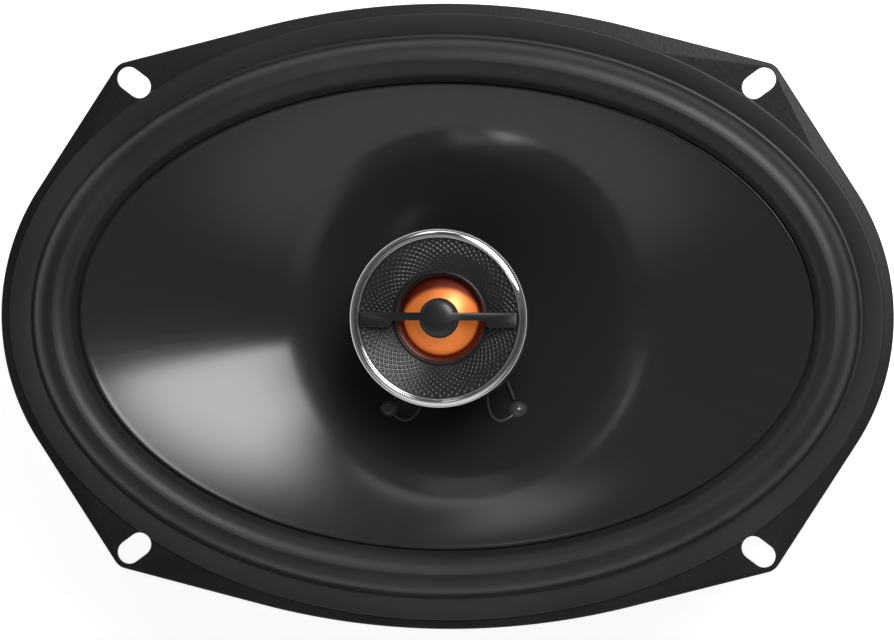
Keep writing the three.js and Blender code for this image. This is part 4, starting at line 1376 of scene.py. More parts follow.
    def slots(self, room: float = 0.0) -> list[Piece]:
        """Make the cutters for the four screw slots.

        Args:
            room: How much wider than the slots they are, all round.

        Returns:
            The four cutters.
        """
        high = node_heights("basket")[1]
        middle, _, angle = self.slot_place()
        half = self.slot_width / 2 + room
        straight = (self.slot_length - self.slot_width) / 2
        rounded = [
            (side * straight + half * math.cos(turn), half * math.sin(turn))
            for side, first in ((1, -math.pi / 2), (-1, math.pi / 2))
            for turn in (first + math.pi * i / 12 for i in range(13))
        ]
        slot = Bench.prism("slot", rounded, high - 3, high + 2)
        turns = (angle, math.pi - angle, math.pi + angle, -angle)
        made = [
            Bench.copied(slot, f"slot_{i}", Matrix.Rotation(turn, 4, "Z") @ shift(middle, 0))
            for i, turn in enumerate(turns)
        ]
        bpy.data.objects.remove(slot)
        return made

    def cutters(self) -> list[Piece]:
        """Make everything that is cut from the pressed sheet.

        Returns:
            The cutters for windows, slots, vents and rivets.
        """
        low = node_heights("basket")[0]
        made = [self.window(i) for i in range(len(self.leg_angles))] + self.slots()
        inner = self.landing_inner
        vent = Bench.block("vent", (inner - 4, -4.5, 30.7), (inner + 4, 4.5, 35.3), 0.0)
        Bench.bevel_edges(vent, lambda place, way: abs(way.x) > 0.9, 1.4, 4)
        rivet = Bench.loft("rivet_hole", circles((1.8, low - 2), (1.8, low + 3)), 24, Ends.CAPPED)
        for name, pattern, count, out in (
            ("vent", vent, self.vents, 0.0),
            ("rivet_hole", rivet, self.rivets, self.rivet_circle),
        ):
            for i in range(count):
                turned = Matrix.Rotation(math.radians(360.0 * (i + 0.5) / count), 4, "Z")
                made.append(Bench.copied(pattern, f"{name}_{i}", turned @ shift(out, 0)))
        for spare in (vent, rivet):
            bpy.data.objects.remove(spare)
        return made

    def ribs(self) -> list[Piece]:
        """Make the stiffening beads pressed into the back of the legs.

        Returns:
            The beads.
        """
        made = []
        for i, degrees in enumerate(self.leg_angles):
            if degrees == self.board_leg:
                continue
            angle = math.radians(degrees)
            rim = self.plan.ring(self.wall_inset + 2.6, self.ramp_top)
            reach = 1 / math.hypot(math.cos(angle) / rim.long, math.sin(angle) / rim.wide)
            foot = Vector((self.landing_outer + 1.6, self.landing + 1.6))
            top = Vector((reach, rim.height))
            run = top - foot
            half = run.length * 0.37
            bead = Bench.block(f"rib_{i}", (-half, -2.6, -0.75), (half, 2.6, 0.75), 0.0)
            Bench.bevel_edges(bead, lambda place, way: abs(way.z) > 0.9, 2.5, 5)
            Bench.bevel_edges(bead, lambda place, way: place.z < -0.7, 0.6, 3)
            middle = (foot + top) / 2
            matrix = (
                Matrix.Rotation(angle, 4, "Z")
                @ shift(middle.x, 0, middle.y)
                @ Matrix.Rotation(-math.atan2(run.y, run.x), 4, "Y")
            )
            made.append(Bench.turned_to(bead, matrix))
        return made

    def build(self) -> None:
        """Make the basket and hand it over."""
        basket = self.bowl()
        Bench.boolean(basket, self.flange(), "UNION")
        Bench.boolean(basket, Bench.joined("cutters", self.cutters()), "DIFFERENCE")
        Bench.boolean(basket, Bench.joined("ribs", self.ribs()), "UNION")
        self.hand_over(basket, BLACK_PAINT, "basket_paint", ["basket"])


@dataclass
class Motor(Assembly):
    """The yoke with its pole, the ferrite ring, the top plate and the rivets through it."""

    yoke_radius: float = 43.0
    pole_radius: float = 14.5
    stud_hole: float = 5.15
    recess_radius: float = 9.0
    recess_depth: float = 8.0
    chamfer: float = 1.2
    magnet_radius: float = 46.0
    magnet_bore: float = 22.0
    plate_bore: float = 17.2
    groove_width: float = 5.0
    groove_depth: float = 3.0
    rivet_radius: float = 1.7
    rivet_head: float = 3.2
    sides: int = 112

    def yoke(self) -> None:
        """Turn the yoke, and cut the groove for the wires."""
        top = node_heights("yoke")[1]
        plate = node_heights("magnet")[0]
        corners = circles(
            (self.stud_hole, self.recess_depth),
            (self.recess_radius, self.recess_depth),
            (self.recess_radius, 0.0),
            (self.yoke_radius - self.chamfer, 0.0),
            (self.yoke_radius, self.chamfer),
            (self.yoke_radius, plate),
            (self.pole_radius, plate),
            (self.pole_radius, top),
            (self.stud_hole, top),
        )
        yoke = Bench.loft("yoke", softened(corners, 0.3, 2), self.sides)
        half, past = self.groove_width / 2, -self.yoke_radius - 2
        groove = Bench.block("groove", (-half, past, -2), (half, 0, self.groove_depth), 0.5, 3)
        Bench.boolean(yoke, groove, "DIFFERENCE")
        self.hand_over(yoke, ZINC, "zinc_steel", ["yoke"])

    def magnet(self) -> None:
        """Make the ferrite ring, with its ground edges."""
        low, high = node_heights("magnet")
        corners = circles(
            (self.magnet_bore, low + 0.8),
            (self.magnet_bore + 0.8, low),
            (self.magnet_radius - self.chamfer, low),
            (self.magnet_radius, low + self.chamfer),
            (self.magnet_radius, high - self.chamfer),
            (self.magnet_radius - self.chamfer, high),
            (self.magnet_bore + 0.8, high),
            (self.magnet_bore, high - 0.8),
        )
        magnet = Bench.loft("magnet", softened(corners, 0.25, 2), self.sides)
        self.hand_over(magnet, FERRITE, "ferrite", ["magnet"])

    def top_plate(self) -> None:
        """Make the top plate."""
        low, high = node_heights("top_plate")
        corners = circles(
            (self.plate_bore, low),
            (self.yoke_radius, low),
            (self.yoke_radius, high),
            (self.plate_bore, high),
        )
        plate = Bench.loft("top_plate", softened(corners, 0.5), self.sides)
        self.hand_over(plate, ZINC, "zinc_steel", ["top_plate"])

    def rivets(self) -> None:
        """Make one rivet with a crowned head, and copy it to the other places."""
        low, high = node_heights("basket_rivet_1")
        foot = high - 1.6
        corners = circles(
            (self.rivet_radius, low),
            (self.rivet_radius, foot),
            (self.rivet_head, foot),
            (self.rivet_head, foot + 0.5),
            (self.rivet_head * 0.78, foot + 1.25),
            (self.rivet_head * 0.4, high),
            (0.4, high),
        )
        rivet = Bench.loft("rivet", softened(corners, 0.35, 2, Ends.CAPPED), 32, Ends.CAPPED)
        for i in range(4):
            node = f"basket_rivet_{i + 1}"
            lowest, highest = node_span(node)
            middle = (lowest + highest) / 2
            copy = Bench.copied(rivet, node, shift(middle.x, middle.y))
            self.hand_over(copy, ZINC, "zinc_steel", [node])
        bpy.data.objects.remove(rivet)

    def build(self) -> None:
        """Make the motor's pieces."""
        self.yoke()
        self.magnet()
        self.top_plate()
        self.rivets()


@dataclass
class Woofer(Assembly):
    """The woofer's moving system: roll, cone, voice coil and spider."""

    plan: OvalPlan
    basket: Basket
    rubber: float = 0.9
    roll_height: float = 6.5
    seat_inset: float = 2.4
    roll_outer: float = 8.7
    roll_inner: float = 20.6
    roll_steps: int = 12
    notch_room: float = 0.25
    lip_share: float = 0.93
    neck: float = 15.5
    neck_height: float = 54.0
    flare: float = 0.45
    wall: float = 0.8
    former_inner: float = 15.0
    former_outer: float = 15.4
    spider_waves: int = 3
    wave_height: float = 1.1
    cloth: float = 0.6
    sides: int = 180

    def cone_ring(self, share: float, lift: float = 0.0) -> Ring:
        """Work out a section of the cone's front face.

        Args:
            share: How far it is from the neck to the edge.
            lift: How far it is raised.

        Returns:
            The section.
        """
        high = node_span("cone")[1]
        rise = high.z - self.neck_height
        return Ring(
            self.neck + (high.x - self.neck) * share,
            self.neck + (high.y - self.neck) * share,
            self.neck_height + rise * ((1 + self.flare) * share - self.flare * share * share) + lift,
        )

    def roll_ring(self, share: float, depth: float) -> Ring:
        """Work out a section of the half roll.

        Args:
            share: How far across the roll it is, from the flange inwards.
            depth: How far under the roll's face it is.

        Returns:
            The section.
        """
        seat = node_heights("basket")[1] + self.rubber
        edge = node_heights("cone")[1]
        middle = (self.roll_outer + self.roll_inner) / 2
        half = (self.roll_inner - self.roll_outer) / 2 - depth
        turn = math.pi * share
        fall = (seat - edge) * share
        height = seat - depth - fall + self.roll_height * math.sin(turn)
        return self.plan.ring(middle - half * math.cos(turn), height)

    def outer_roll(self) -> None:
        """Make the glued rim and the outer half of the roll."""
        seat = node_heights("basket")[1]
        top = seat + self.rubber
        steps = self.roll_steps
        over = [self.roll_ring(0.5 * i / steps, 0.0) for i in range(1, steps + 1)]
        under = [self.roll_ring(0.5 * i / steps, self.rubber) for i in range(steps, -1, -1)]
        rim = [
            self.plan.ring(self.seat_inset, seat + 0.02),
            self.plan.ring(self.seat_inset, top - 0.3),
            self.plan.ring(self.seat_inset + 0.12, top - 0.08),
            self.plan.ring(self.seat_inset + 0.35, top),
            self.plan.ring(self.seat_inset + 0.6, top),
            self.plan.ring(self.roll_outer - 1.5, top),
            self.plan.ring(self.roll_outer - 0.9, top - 0.12),
            self.plan.ring(self.roll_outer - 0.3, top - 0.22),
            self.plan.ring(self.roll_outer + 0.05, top - 0.05),
        ]
        piece = Bench.loft("surround_outer", rim + over + under, self.sides)
        Bench.boolean(piece, Bench.joined("notches", self.basket.slots(self.notch_room)), "DIFFERENCE")
        self.hand_over(piece, BUTYL, "surround_rubber", ["surround"], angle=50.0)

    def inner_roll(self) -> None:
        """Make the inner half of the roll and the lip under the cone."""
        steps = self.roll_steps
        over = [self.roll_ring(0.5 + 0.5 * i / steps, 0.0) for i in range(steps + 1)]
        under = [self.roll_ring(0.5 + 0.5 * i / steps, self.rubber) for i in range(steps, -1, -1)]
        edge = node_heights("cone")[1] - self.wall - 0.2
        lip = self.cone_ring(self.lip_share, -self.wall - 0.2)
        below = Ring(lip.long, lip.wide, lip.height - self.rubber)
        middle = [self.plan.ring(self.roll_inner, edge), lip, below]
        middle.append(self.plan.ring(self.roll_inner - self.rubber, edge - self.rubber))
        piece = Bench.loft("surround_inner", over + middle + under, self.sides)
        self.hand_over(piece, BUTYL, "surround_rubber", ["surround"], None, 50.0)
        crest, foot = over[0].height, over[-1].height
        crest * MM
        foot * MM
        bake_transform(piece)

    def cone(self) -> None:
        """Draw the cone, with its edge rounded over."""
        steps = 34
        edge = ((0.978, 0.0), (0.984, 0.02), (0.989, 0.03), (0.994, 0.0), (0.998, -0.1), (1.0, -0.32))
        front = [self.cone_ring(i / steps) for i in range(steps)]
        front += [self.cone_ring(share, lift) for share, lift in edge]
        back = [self.cone_ring(i / steps, -self.wall) for i in range(steps, -1, -1)]
        piece = Bench.loft("cone", front + back, self.sides)
        self.hand_over(piece, CONE_POLY, "cone_poly", ["cone"], Body.CONE, 50.0)

    def coil(self) -> None:
        """Make the coil's former, and dress the winding on it."""
        low, high = node_heights("voice_coil_former")
        inner, outer = self.former_inner, self.former_outer
        corners = circles((inner, low), (outer, low), (outer, high), (inner, high))
        piece = Bench.loft("voice_coil_former", softened(corners, 0.1, 2), 96)
        self.hand_over(piece, FOIL, "coil_aluminium", ["voice_coil_former"], Body.CONE)
        self.dress("voice_coil_winding", COPPER)

    def spider(self) -> None:
        """Make the spider: pleated cloth from the basket's landing to a collar on the former."""
        low, high = node_heights("spider")
        rim_outer, rim_inner, collar = 47.0, 40.8, self.neck + 1.6
        flat, rise = rim_inner + 1.2, 7.0
        top = low + self.cloth
        steps = self.spider_waves * 12
        over, under = [], []
        for i in range(steps + 1):
            share = i / steps
            radius = rim_inner + (collar - rim_inner) * share
            fade = min(1.0, 6 * share, 6 * (1 - share))
            wave = self.wave_height * math.sin(TURN * self.spider_waves * share) * fade
            over.append(circle(radius, top + rise * share + wave))
            under.append(circle(radius, top - self.cloth + rise * share + wave))
        rings = [circle(rim_outer, low), circle(rim_outer, top), circle(flat, top)]
        rings += over + [circle(collar, high), circle(self.neck, high), circle(self.neck, high - 2)]
        rings += list(reversed(under[:-1])) + [circle(flat, low)]
        piece = Bench.loft("spider", rings, 112)
        self.hand_over(piece, SPIDER_CLOTH, "spider_cloth", ["spider"], None, 60.0)
        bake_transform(piece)

    def build(self) -> None:
        """Make the woofer's moving pieces."""
        self.outer_roll()
        self.inner_roll()
        self.cone()
        self.coil()
        self.spider()


@dataclass
class ConeLeads(Assembly):
    """The two coil wires on the cone, each ending at an eyelet under a bead of glue."""

    woofer: Woofer
    eyelet_radius: float = 1.5
    wire_radius: float = 0.45
    dab_radius: float = 2.7
    lead_spread: float = 10.5
    tail: tuple[Plan, ...] = (
        (8.4, -19.5),
        (8.8, -23.2),
        (10.2, -26.6),
        (12.4, -28.0),
        (14.9, -27.2),
        (16.2, -26.0),
    )

    def height(self, x: float, y: float) -> float:
        """Find the height of the cone's front face over a place, by halving a range of its sections.

        Args:
            x: The place in plan.
            y: The place in plan.

        Returns:
            The height.
        """
        low, high = 0.0, 1.0
        for _ in range(40):
            middle = (low + high) / 2
            ring = self.woofer.cone_ring(middle)
            outside = (x / ring.long) ** 2 + (y / ring.wide) ** 2 > 1
            low, high = (middle, high) if outside else (low, middle)
        return self.woofer.cone_ring(low).height

    def eyelet(self, side: str) -> Vector:
        """Make one eyelet: a rolled tube through the cone.

        Args:
            side: Which lead it ends.

        Returns:
            Its middle.
        """
        node = f"lead_eyelet_{side}"
        low, high = node_span(node)
        corners = circles(
            (0.8, low.z),
            (self.eyelet_radius, low.z),
            (self.eyelet_radius, high.z),
            (0.8, high.z),
        )
        made = Bench.loft(node, softened(corners, 0.3), 32)
        middle = (low + high) / 2
        Bench.turned_to(made, shift(middle.x, middle.y))
        self.hand_over(made, BRASS, "terminal_brass", [node], Body.CONE)
        return middle

    def dab(self, side: str, middle: Vector, lean: float) -> None:
        """Make one bead of glue: a slumped drop lying on the cone's slope.

        Args:
            side: Which lead it covers.
            middle: The eyelet's middle.
            lean: Which way the drop has run, and the seed of its lumps.
        """
        foot = self.height(middle.x, middle.y)
        Bench.clear()
        bpy.ops.mesh.primitive_uv_sphere_add(segments=36, ring_count=20, radius=self.dab_radius * MM)
        made = Bench.named(f"glue_dab_{side}")
        Bench.pick(made, Element.POINT, lambda place, normal: place.z < 0)
        bpy.ops.transform.resize(value=(1.12, 1.12, 0.3), center_override=(0.0, 0.0, 0.0))
        Bench.leave()
        Bench.pick(made, Element.POINT, lambda place, normal: place.z > 1.4)
        bpy.ops.transform.resize(value=(0.86, 0.92, 0.88), center_override=(0.0, 0.0, 0.0))
        bpy.ops.transform.translate(value=(lean * 0.3 * MM, -0.2 * MM, 0.0))
        Bench.leave()
        Bench.pick(made, Element.POINT, lambda place, normal: True)
        bpy.ops.transform.vertex_random(offset=0.9 * MM, normal=1.0, seed=7 + int(lean))
        bpy.ops.mesh.vertices_smooth(factor=0.5, repeat=16)
        Bench.leave()
        slope_x = (self.height(middle.x + 1, middle.y) - self.height(middle.x - 1, middle.y)) / 2
        slope_y = (self.height(middle.x, middle.y + 1) - self.height(middle.x, middle.y - 1)) / 2
        up = Vector((-slope_x, -slope_y, 1.0)).normalized()
        turn = Vector((0, 0, 1)).rotation_difference(up).to_matrix().to_4x4()
        squashed = Matrix.Diagonal((1.0, 0.94, 0.9, 1.0))
        Bench.turned_to(made, shift(middle.x, middle.y, foot) @ turn @ squashed)
        self.hand_over(made, GLUE, "black_glue", [f"glue_dab_{side}"], Body.CONE, 60.0)

    def build(self) -> None:
        """Make both sides' eyelet, bead and wire."""
        for side, sign in (("left", -1), ("right", 1)):
            middle = self.eyelet(side)
            self.dab(side, middle, sign)
            spread = self.lead_spread
            start = Vector((sign * spread, -math.sqrt((self.woofer.neck + 1) ** 2 - spread**2)))
            end = Vector((middle.x, middle.y))
            path = []
            for share in (0.04, 0.3, 0.55, 0.8):
                plan = start + (end - start) * share
                plan.x += sign * 0.5 * math.sin(math.pi * share)
                top = self.height(plan.x, plan.y) + self.wire_radius * 1.5
                path.append(Vector((plan.x, plan.y, top)))
            wire = Bench.wire(f"coil_lead_{side}", path, self.wire_radius)
            self.hand_over(wire, GLUE, "black_glue", [f"coil_lead_{side}"], Body.CONE, 60.0)
            loop = [
                Vector((sign * x, y, self.height(x, y) + self.wire_radius * 1.3))
                for x, y in self.tail
            ]
            tail = Bench.wire(f"lead_tail_{side}", loop, self.wire_radius)
            self.hand_over(tail, GLUE, "black_glue", [f"coil_lead_{side}"], Body.CONE, 60.0)


@dataclass
class Post(Assembly):
    """The hollow post that carries the tweeter, the washer and nut behind it, and the dust seal round it."""

    radius: float = 8.0
    bore: float = 2.5
    stud: float = 4.9
    nut_radius: float = 8.0
    seal_radius: float = 14.2

    def build(self) -> None:
        """Make the post's pieces."""
        low, high = node_heights("tweeter_post")
        pole = node_heights("yoke")[1]
        corners = circles(
            (self.bore, low + 1),
            (self.bore + 1, low),
            (self.stud - 0.5, low),
            (self.stud, low + 0.5),
            (self.stud, pole),
            (self.radius + 1.5, pole),
            (self.radius + 1.5, pole + 2),
            (self.radius, pole + 3.5),
            (self.radius, high - 6),
            (self.radius + 2.5, high),
            (self.bore, high),
        )
        post = Bench.loft("tweeter_post", softened(corners, 0.6), 80)
        self.hand_over(post, PLASTIC, "black_plastic", ["tweeter_post"])

        low, high = node_heights("post_washer")
        hole = self.stud + 0.15
        rim = self.nut_radius + 0.4
        corners = circles((hole, low), (rim, low), (rim, high), (hole, high))
        washer = Bench.loft("post_washer", softened(corners, 0.18, 2), 64)
        self.hand_over(washer, ZINC, "zinc_steel", ["post_washer"])
        self.nut()

        low, high = node_heights("dust_seal")
        hole, rim = self.radius, self.seal_radius
        corners = circles((hole, low), (rim, low), (rim, high), (hole, high))
        seal = Bench.loft("dust_seal", softened(corners, 0.7), 72)
        self.hand_over(seal, FELT, "felt", ["dust_seal"])

    def nut(self) -> None:
        """Make the hexagonal nut, with its corners chamfered and its bore countersunk."""
        low, high = node_heights("post_nut")
        rim = self.nut_radius
        nut = Bench.loft("post_nut", circles((rim, low), (rim, high)), 6, Ends.CAPPED)
        lens = circles(
            (rim * 0.87, low),
            (rim * 1.01, low + 0.65),
            (rim * 1.01, high - 0.65),
            (rim * 0.87, high),
        )
        Bench.boolean(nut, Bench.loft("chamfer", lens, 72, Ends.CAPPED), "INTERSECT")
        hole = self.stud + 0.15
        bore = circles((hole + 0.9, low - 0.3), (hole, low + 0.6), (hole, high + 1))
        Bench.boolean(nut, Bench.loft("thread", bore, 48, Ends.CAPPED), "DIFFERENCE")
        self.hand_over(nut, ZINC, "zinc_steel", ["post_nut"], angle=20.0)


@dataclass
class Tweeter(Assembly):
    """The tweeter: housing, bright bezel, patterned horn, bridge with its plug, and the dome."""

    radius: float = 23.6
    inner: float = 21.7
    housing_radius: float = 21.5
    throat: float = 12.1
    horn_rim: float = 21.0
    diamonds: int = 60
    diamond_rows: int = 6
    dome_radius: float = 10.3
    dome_wall: float = 0.4
    plug_radius: float = 5.35
    crest_width: float = 1.75
    ridge_radius: float = 0.22
    horn_low: float = 92.75
    horn_rise: float = 3.05
    horn_back: float = 91.7
    horn_seat: float = 95.25
    roll_still: float = 91.3
    roll_moved: float = 90.7

    def bezel(self) -> None:
        """Turn the bezel: a deep wall, a broad rounded crest and a fine second ridge inside it."""
        low, high = node_heights("tweeter_bezel")
        rim, inner, gap, ledge = self.radius, self.inner, high - 1.7, high - 2.3
        # The crest falls outwards in steps, each with a width and a slope in degrees.
        steps = [(0.1, 8.0 + 2.0 * i) for i in range(14)]
        steps += [(0.06, 42.0), (0.06, 52.0), (0.05, 62.0), (0.04, 72.0)]
        crest = [circle(rim - self.crest_width, high)]
        for width, slope in steps:
            last = crest[-1]
            crest.append(circle(last.long + width, last.height - width * math.tan(math.radians(slope))))
        ridge = arc((rim - 2.2, high - 1.2), (self.ridge_radius, self.ridge_radius), 0.0, math.pi, 9)
        wall = [(inner, low), (rim - 0.35, low), (rim, low + 0.7), (rim, high - 1.6)]
        inside = [(rim - 1.84, high - 0.04), (rim - 1.88, high - 0.12), (rim - 1.88, gap), (rim - 1.98, gap)]
        inside += [*ridge, (rim - 2.42, ledge), (inner, ledge)]
        rings = circles(*wall) + crest[::-1] + circles(*inside)
        piece = Bench.loft("tweeter_bezel", rings, 144)
        self.hand_over(piece, CHROME, "bezel_chrome", ["tweeter_bezel"], angle=24.0)

    def housing(self) -> None:
        """Turn the housing: a stepped flank opening from the post, and a straight wall."""
        low, high = node_heights("tweeter_housing")
        rim = self.housing_radius
        floor = node_heights("tweeter_cup")[0]
        corners = circles(
            (2.5, low),
            (14.8, low),
            (17.4, low + 2.4),
            (17.9, low + 2.4),
            (rim, low + 6.1),
            (rim, high),
            (rim - 1.6, high),
            (rim - 1.6, low + 7.3),
            (14.0, floor),
            (2.5, floor),
        )
        piece = Bench.loft("tweeter_housing", softened(corners, 0.4), 96)
        self.hand_over(piece, PLASTIC, "black_plastic", ["tweeter_housing"])

    def horn_height(self, share: float) -> float:
        """The horn's height at a share of the way from its throat to its rim."""
        return self.horn_low + self.horn_rise * (1.25 * share - 0.25 * share * share)

    def horn(self) -> None:
        """Make the horn, and press the diamond pattern into its face."""
        rows = self.diamond_rows
        face = [
            circle(
                self.throat + 0.5 + (self.horn_rim - self.throat - 0.5) * i / rows,
                self.horn_height(i / rows),
            )
            for i in range(rows + 1)
        ]
        rest = [
            circle(self.housing_radius, self.horn_height(1.0)),
            circle(self.housing_radius, self.horn_seat),
            circle(self.housing_radius - 1.8, self.horn_seat),
            circle(self.housing_radius - 2.4, self.horn_seat - 1.05),
            circle(14.6, self.horn_back),
            circle(self.throat + 0.1, self.horn_back),
            circle(self.throat + 0.1, self.horn_back + 0.8),
        ]
        horn = Bench.loft("tweeter_faceplate", face + rest, self.diamonds)
        first, last = face[0].long, face[-1].long

        def on_face(place: Vector, normal: Vector) -> bool:
            """Whether a face belongs to the horn's front."""
            share = (place.xy.length - first) / (last - first)
            return 0 < share < 1 and normal.z > 0.5 and place.z > self.horn_height(share) - 0.15

        def on_grid(place: Vector, way: Vector) -> bool:
            """Whether an edge is one of the first grid's, and inside the face.

            Args:
                place: The edge's middle.
                way: Its direction.

            Returns:
                Whether it is dissolved, which leaves the diamonds.
            """
            share = (place.xy.length - first) / (last - first)
            if not 0.01 < share < 0.99 or place.z < self.horn_height(share) - 0.15:
                return False
            around = abs(way.x * place.y - way.y * place.x) / place.xy.length
            along = abs(way.x * place.x + way.y * place.y) / place.xy.length
            return around < 0.02 or along < 0.02

        Bench.pick(horn, Element.FACE, on_face)
        bpy.ops.mesh.poke()
        Bench.leave()
        Bench.pick(horn, Element.EDGE, on_grid)
        bpy.ops.mesh.dissolve_edges(use_verts=False)
        Bench.leave()
        Bench.pick(horn, Element.FACE, on_face)
        for thickness, depth in ((0.07, 0.0), (0.13, 0.11), (0.13, 0.07), (0.13, 0.03)):
            bpy.ops.mesh.inset(thickness=thickness * MM, depth=depth * MM, use_individual=True)
        Bench.leave()
        self.hand_over(horn, HORN_PLASTIC, "black_plastic", ["tweeter_faceplate"], angle=34.0)

        lip = circles(
            (self.throat - 0.75, 92.1),
            (self.throat + 0.1, 92.2),
            (self.throat + 0.65, 92.7),
            (self.throat + 0.4, 92.85),
            (self.throat + 0.05, 93.15),
            (self.throat - 0.25, 93.2),
            (self.throat - 0.45, 92.9),
            (self.throat - 0.75, 92.4),
        )
        ring = Bench.loft("tweeter_throat_ring", softened(lip, 0.14), 96)
        self.hand_over(ring, PLUG_PLASTIC, "black_plastic", ["tweeter_faceplate"], angle=60.0)

    def bridge(self) -> None:
        """Make the bar across the mouth: straight along its upper side, waisted along its lower."""
        low, high = node_span("tweeter_bridge")
        reach = high.x
        foot = node_heights("tweeter_faceplate")[1] + 0.05
        top = foot + 1.5
        outline = [
            (-reach, -2.4),
            (-12.9, -2.4),
            (-12.2, -0.6),
            (12.2, -0.6),
            (12.9, -2.4),
            (reach, -2.4),
            (reach, 1.48),
            (-reach, 1.48),
        ]
        bar = Bench.prism("tweeter_bridge", outline, foot, top)
        Bench.bevel_edges(bar, lambda place, way: abs(way.z) > 0.9, 0.3, 3)
        Bench.bevel_edges(bar, lambda place, way: place.z > top - 0.05, 0.16, 2)
        rim = self.plug_radius
        corners = circles(
            (0.3, low.z),
            (rim * 0.8, low.z + 0.1),
            (rim, low.z + 0.9),
            (rim * 0.97, low.z + 1.7),
            (rim * 0.86, low.z + 2.35),
            (rim * 0.66, low.z + 2.78),
            (rim * 0.4, low.z + 2.98),
            (0.3, high.z),
        )
        plug = Bench.loft("plug", softened(corners, 0.7, 3, Ends.CAPPED), 64, Ends.CAPPED)
        Bench.boolean(bar, plug, "UNION")
        self.hand_over(bar, PLUG_PLASTIC, "black_plastic", ["tweeter_bridge"], angle=40.0)

    def dome(self) -> None:
        """Make the dome's shell, and the roll that holds its edge."""
        low, high = node_heights("tweeter_dome")
        base = low + self.dome_wall
        steps = 22
        shares = [0.02 + 0.98 * i / steps for i in range(steps + 1)]

        def arch(share: float, lift: float) -> Ring:
            """The dome's section at a share of the way from its crown."""
            return circle(self.dome_radius * share, base + (high - base) * (1 - share * share) + lift)

        rings = [arch(s, -self.dome_wall) for s in shares] + [arch(s, 0.0) for s in reversed(shares)]
        dome = Bench.loft("tweeter_dome", rings, 72, Ends.CAPPED)
        self.hand_over(dome, DOME_FILM, "dome_film", ["tweeter_dome"], Body.DOME, 60.0)

        low, high = node_heights("tweeter_suspension")
        wall = 0.3
        inner, outer = self.dome_radius + 0.05, 14.6
        roll = [(inner, base)]
        for i in range(1, 9):
            share = i / 8
            roll.append((inner + 2.3 * share, base + 0.62 * share + 0.42 * math.sin(math.pi * share)))
        roll.append((outer, high))
        rings = [circle(r, min(z, high)) for r, z in roll]
        rings += [circle(r, min(z, high) - wall) for r, z in reversed(roll)]
        edge = Bench.loft("tweeter_suspension", rings, 96)
        self.hand_over(edge, ROLL_FILM, "dome_film", ["tweeter_suspension"], None, 60.0)
        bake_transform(edge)

    def build(self) -> None:
        """Make the tweeter's pieces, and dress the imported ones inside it."""
        self.bezel()
        self.housing()
        self.horn()
        self.bridge()
        self.dome()
        for piece, finish in (
            ("cup", ZINC),
            ("pole_plate", ZINC),
            ("magnet", NICKEL),
            ("mounting_ring", PLASTIC),
            ("former", FOIL),
            ("winding", COPPER),
        ):
            self.dress(f"tweeter_{piece}", finish)


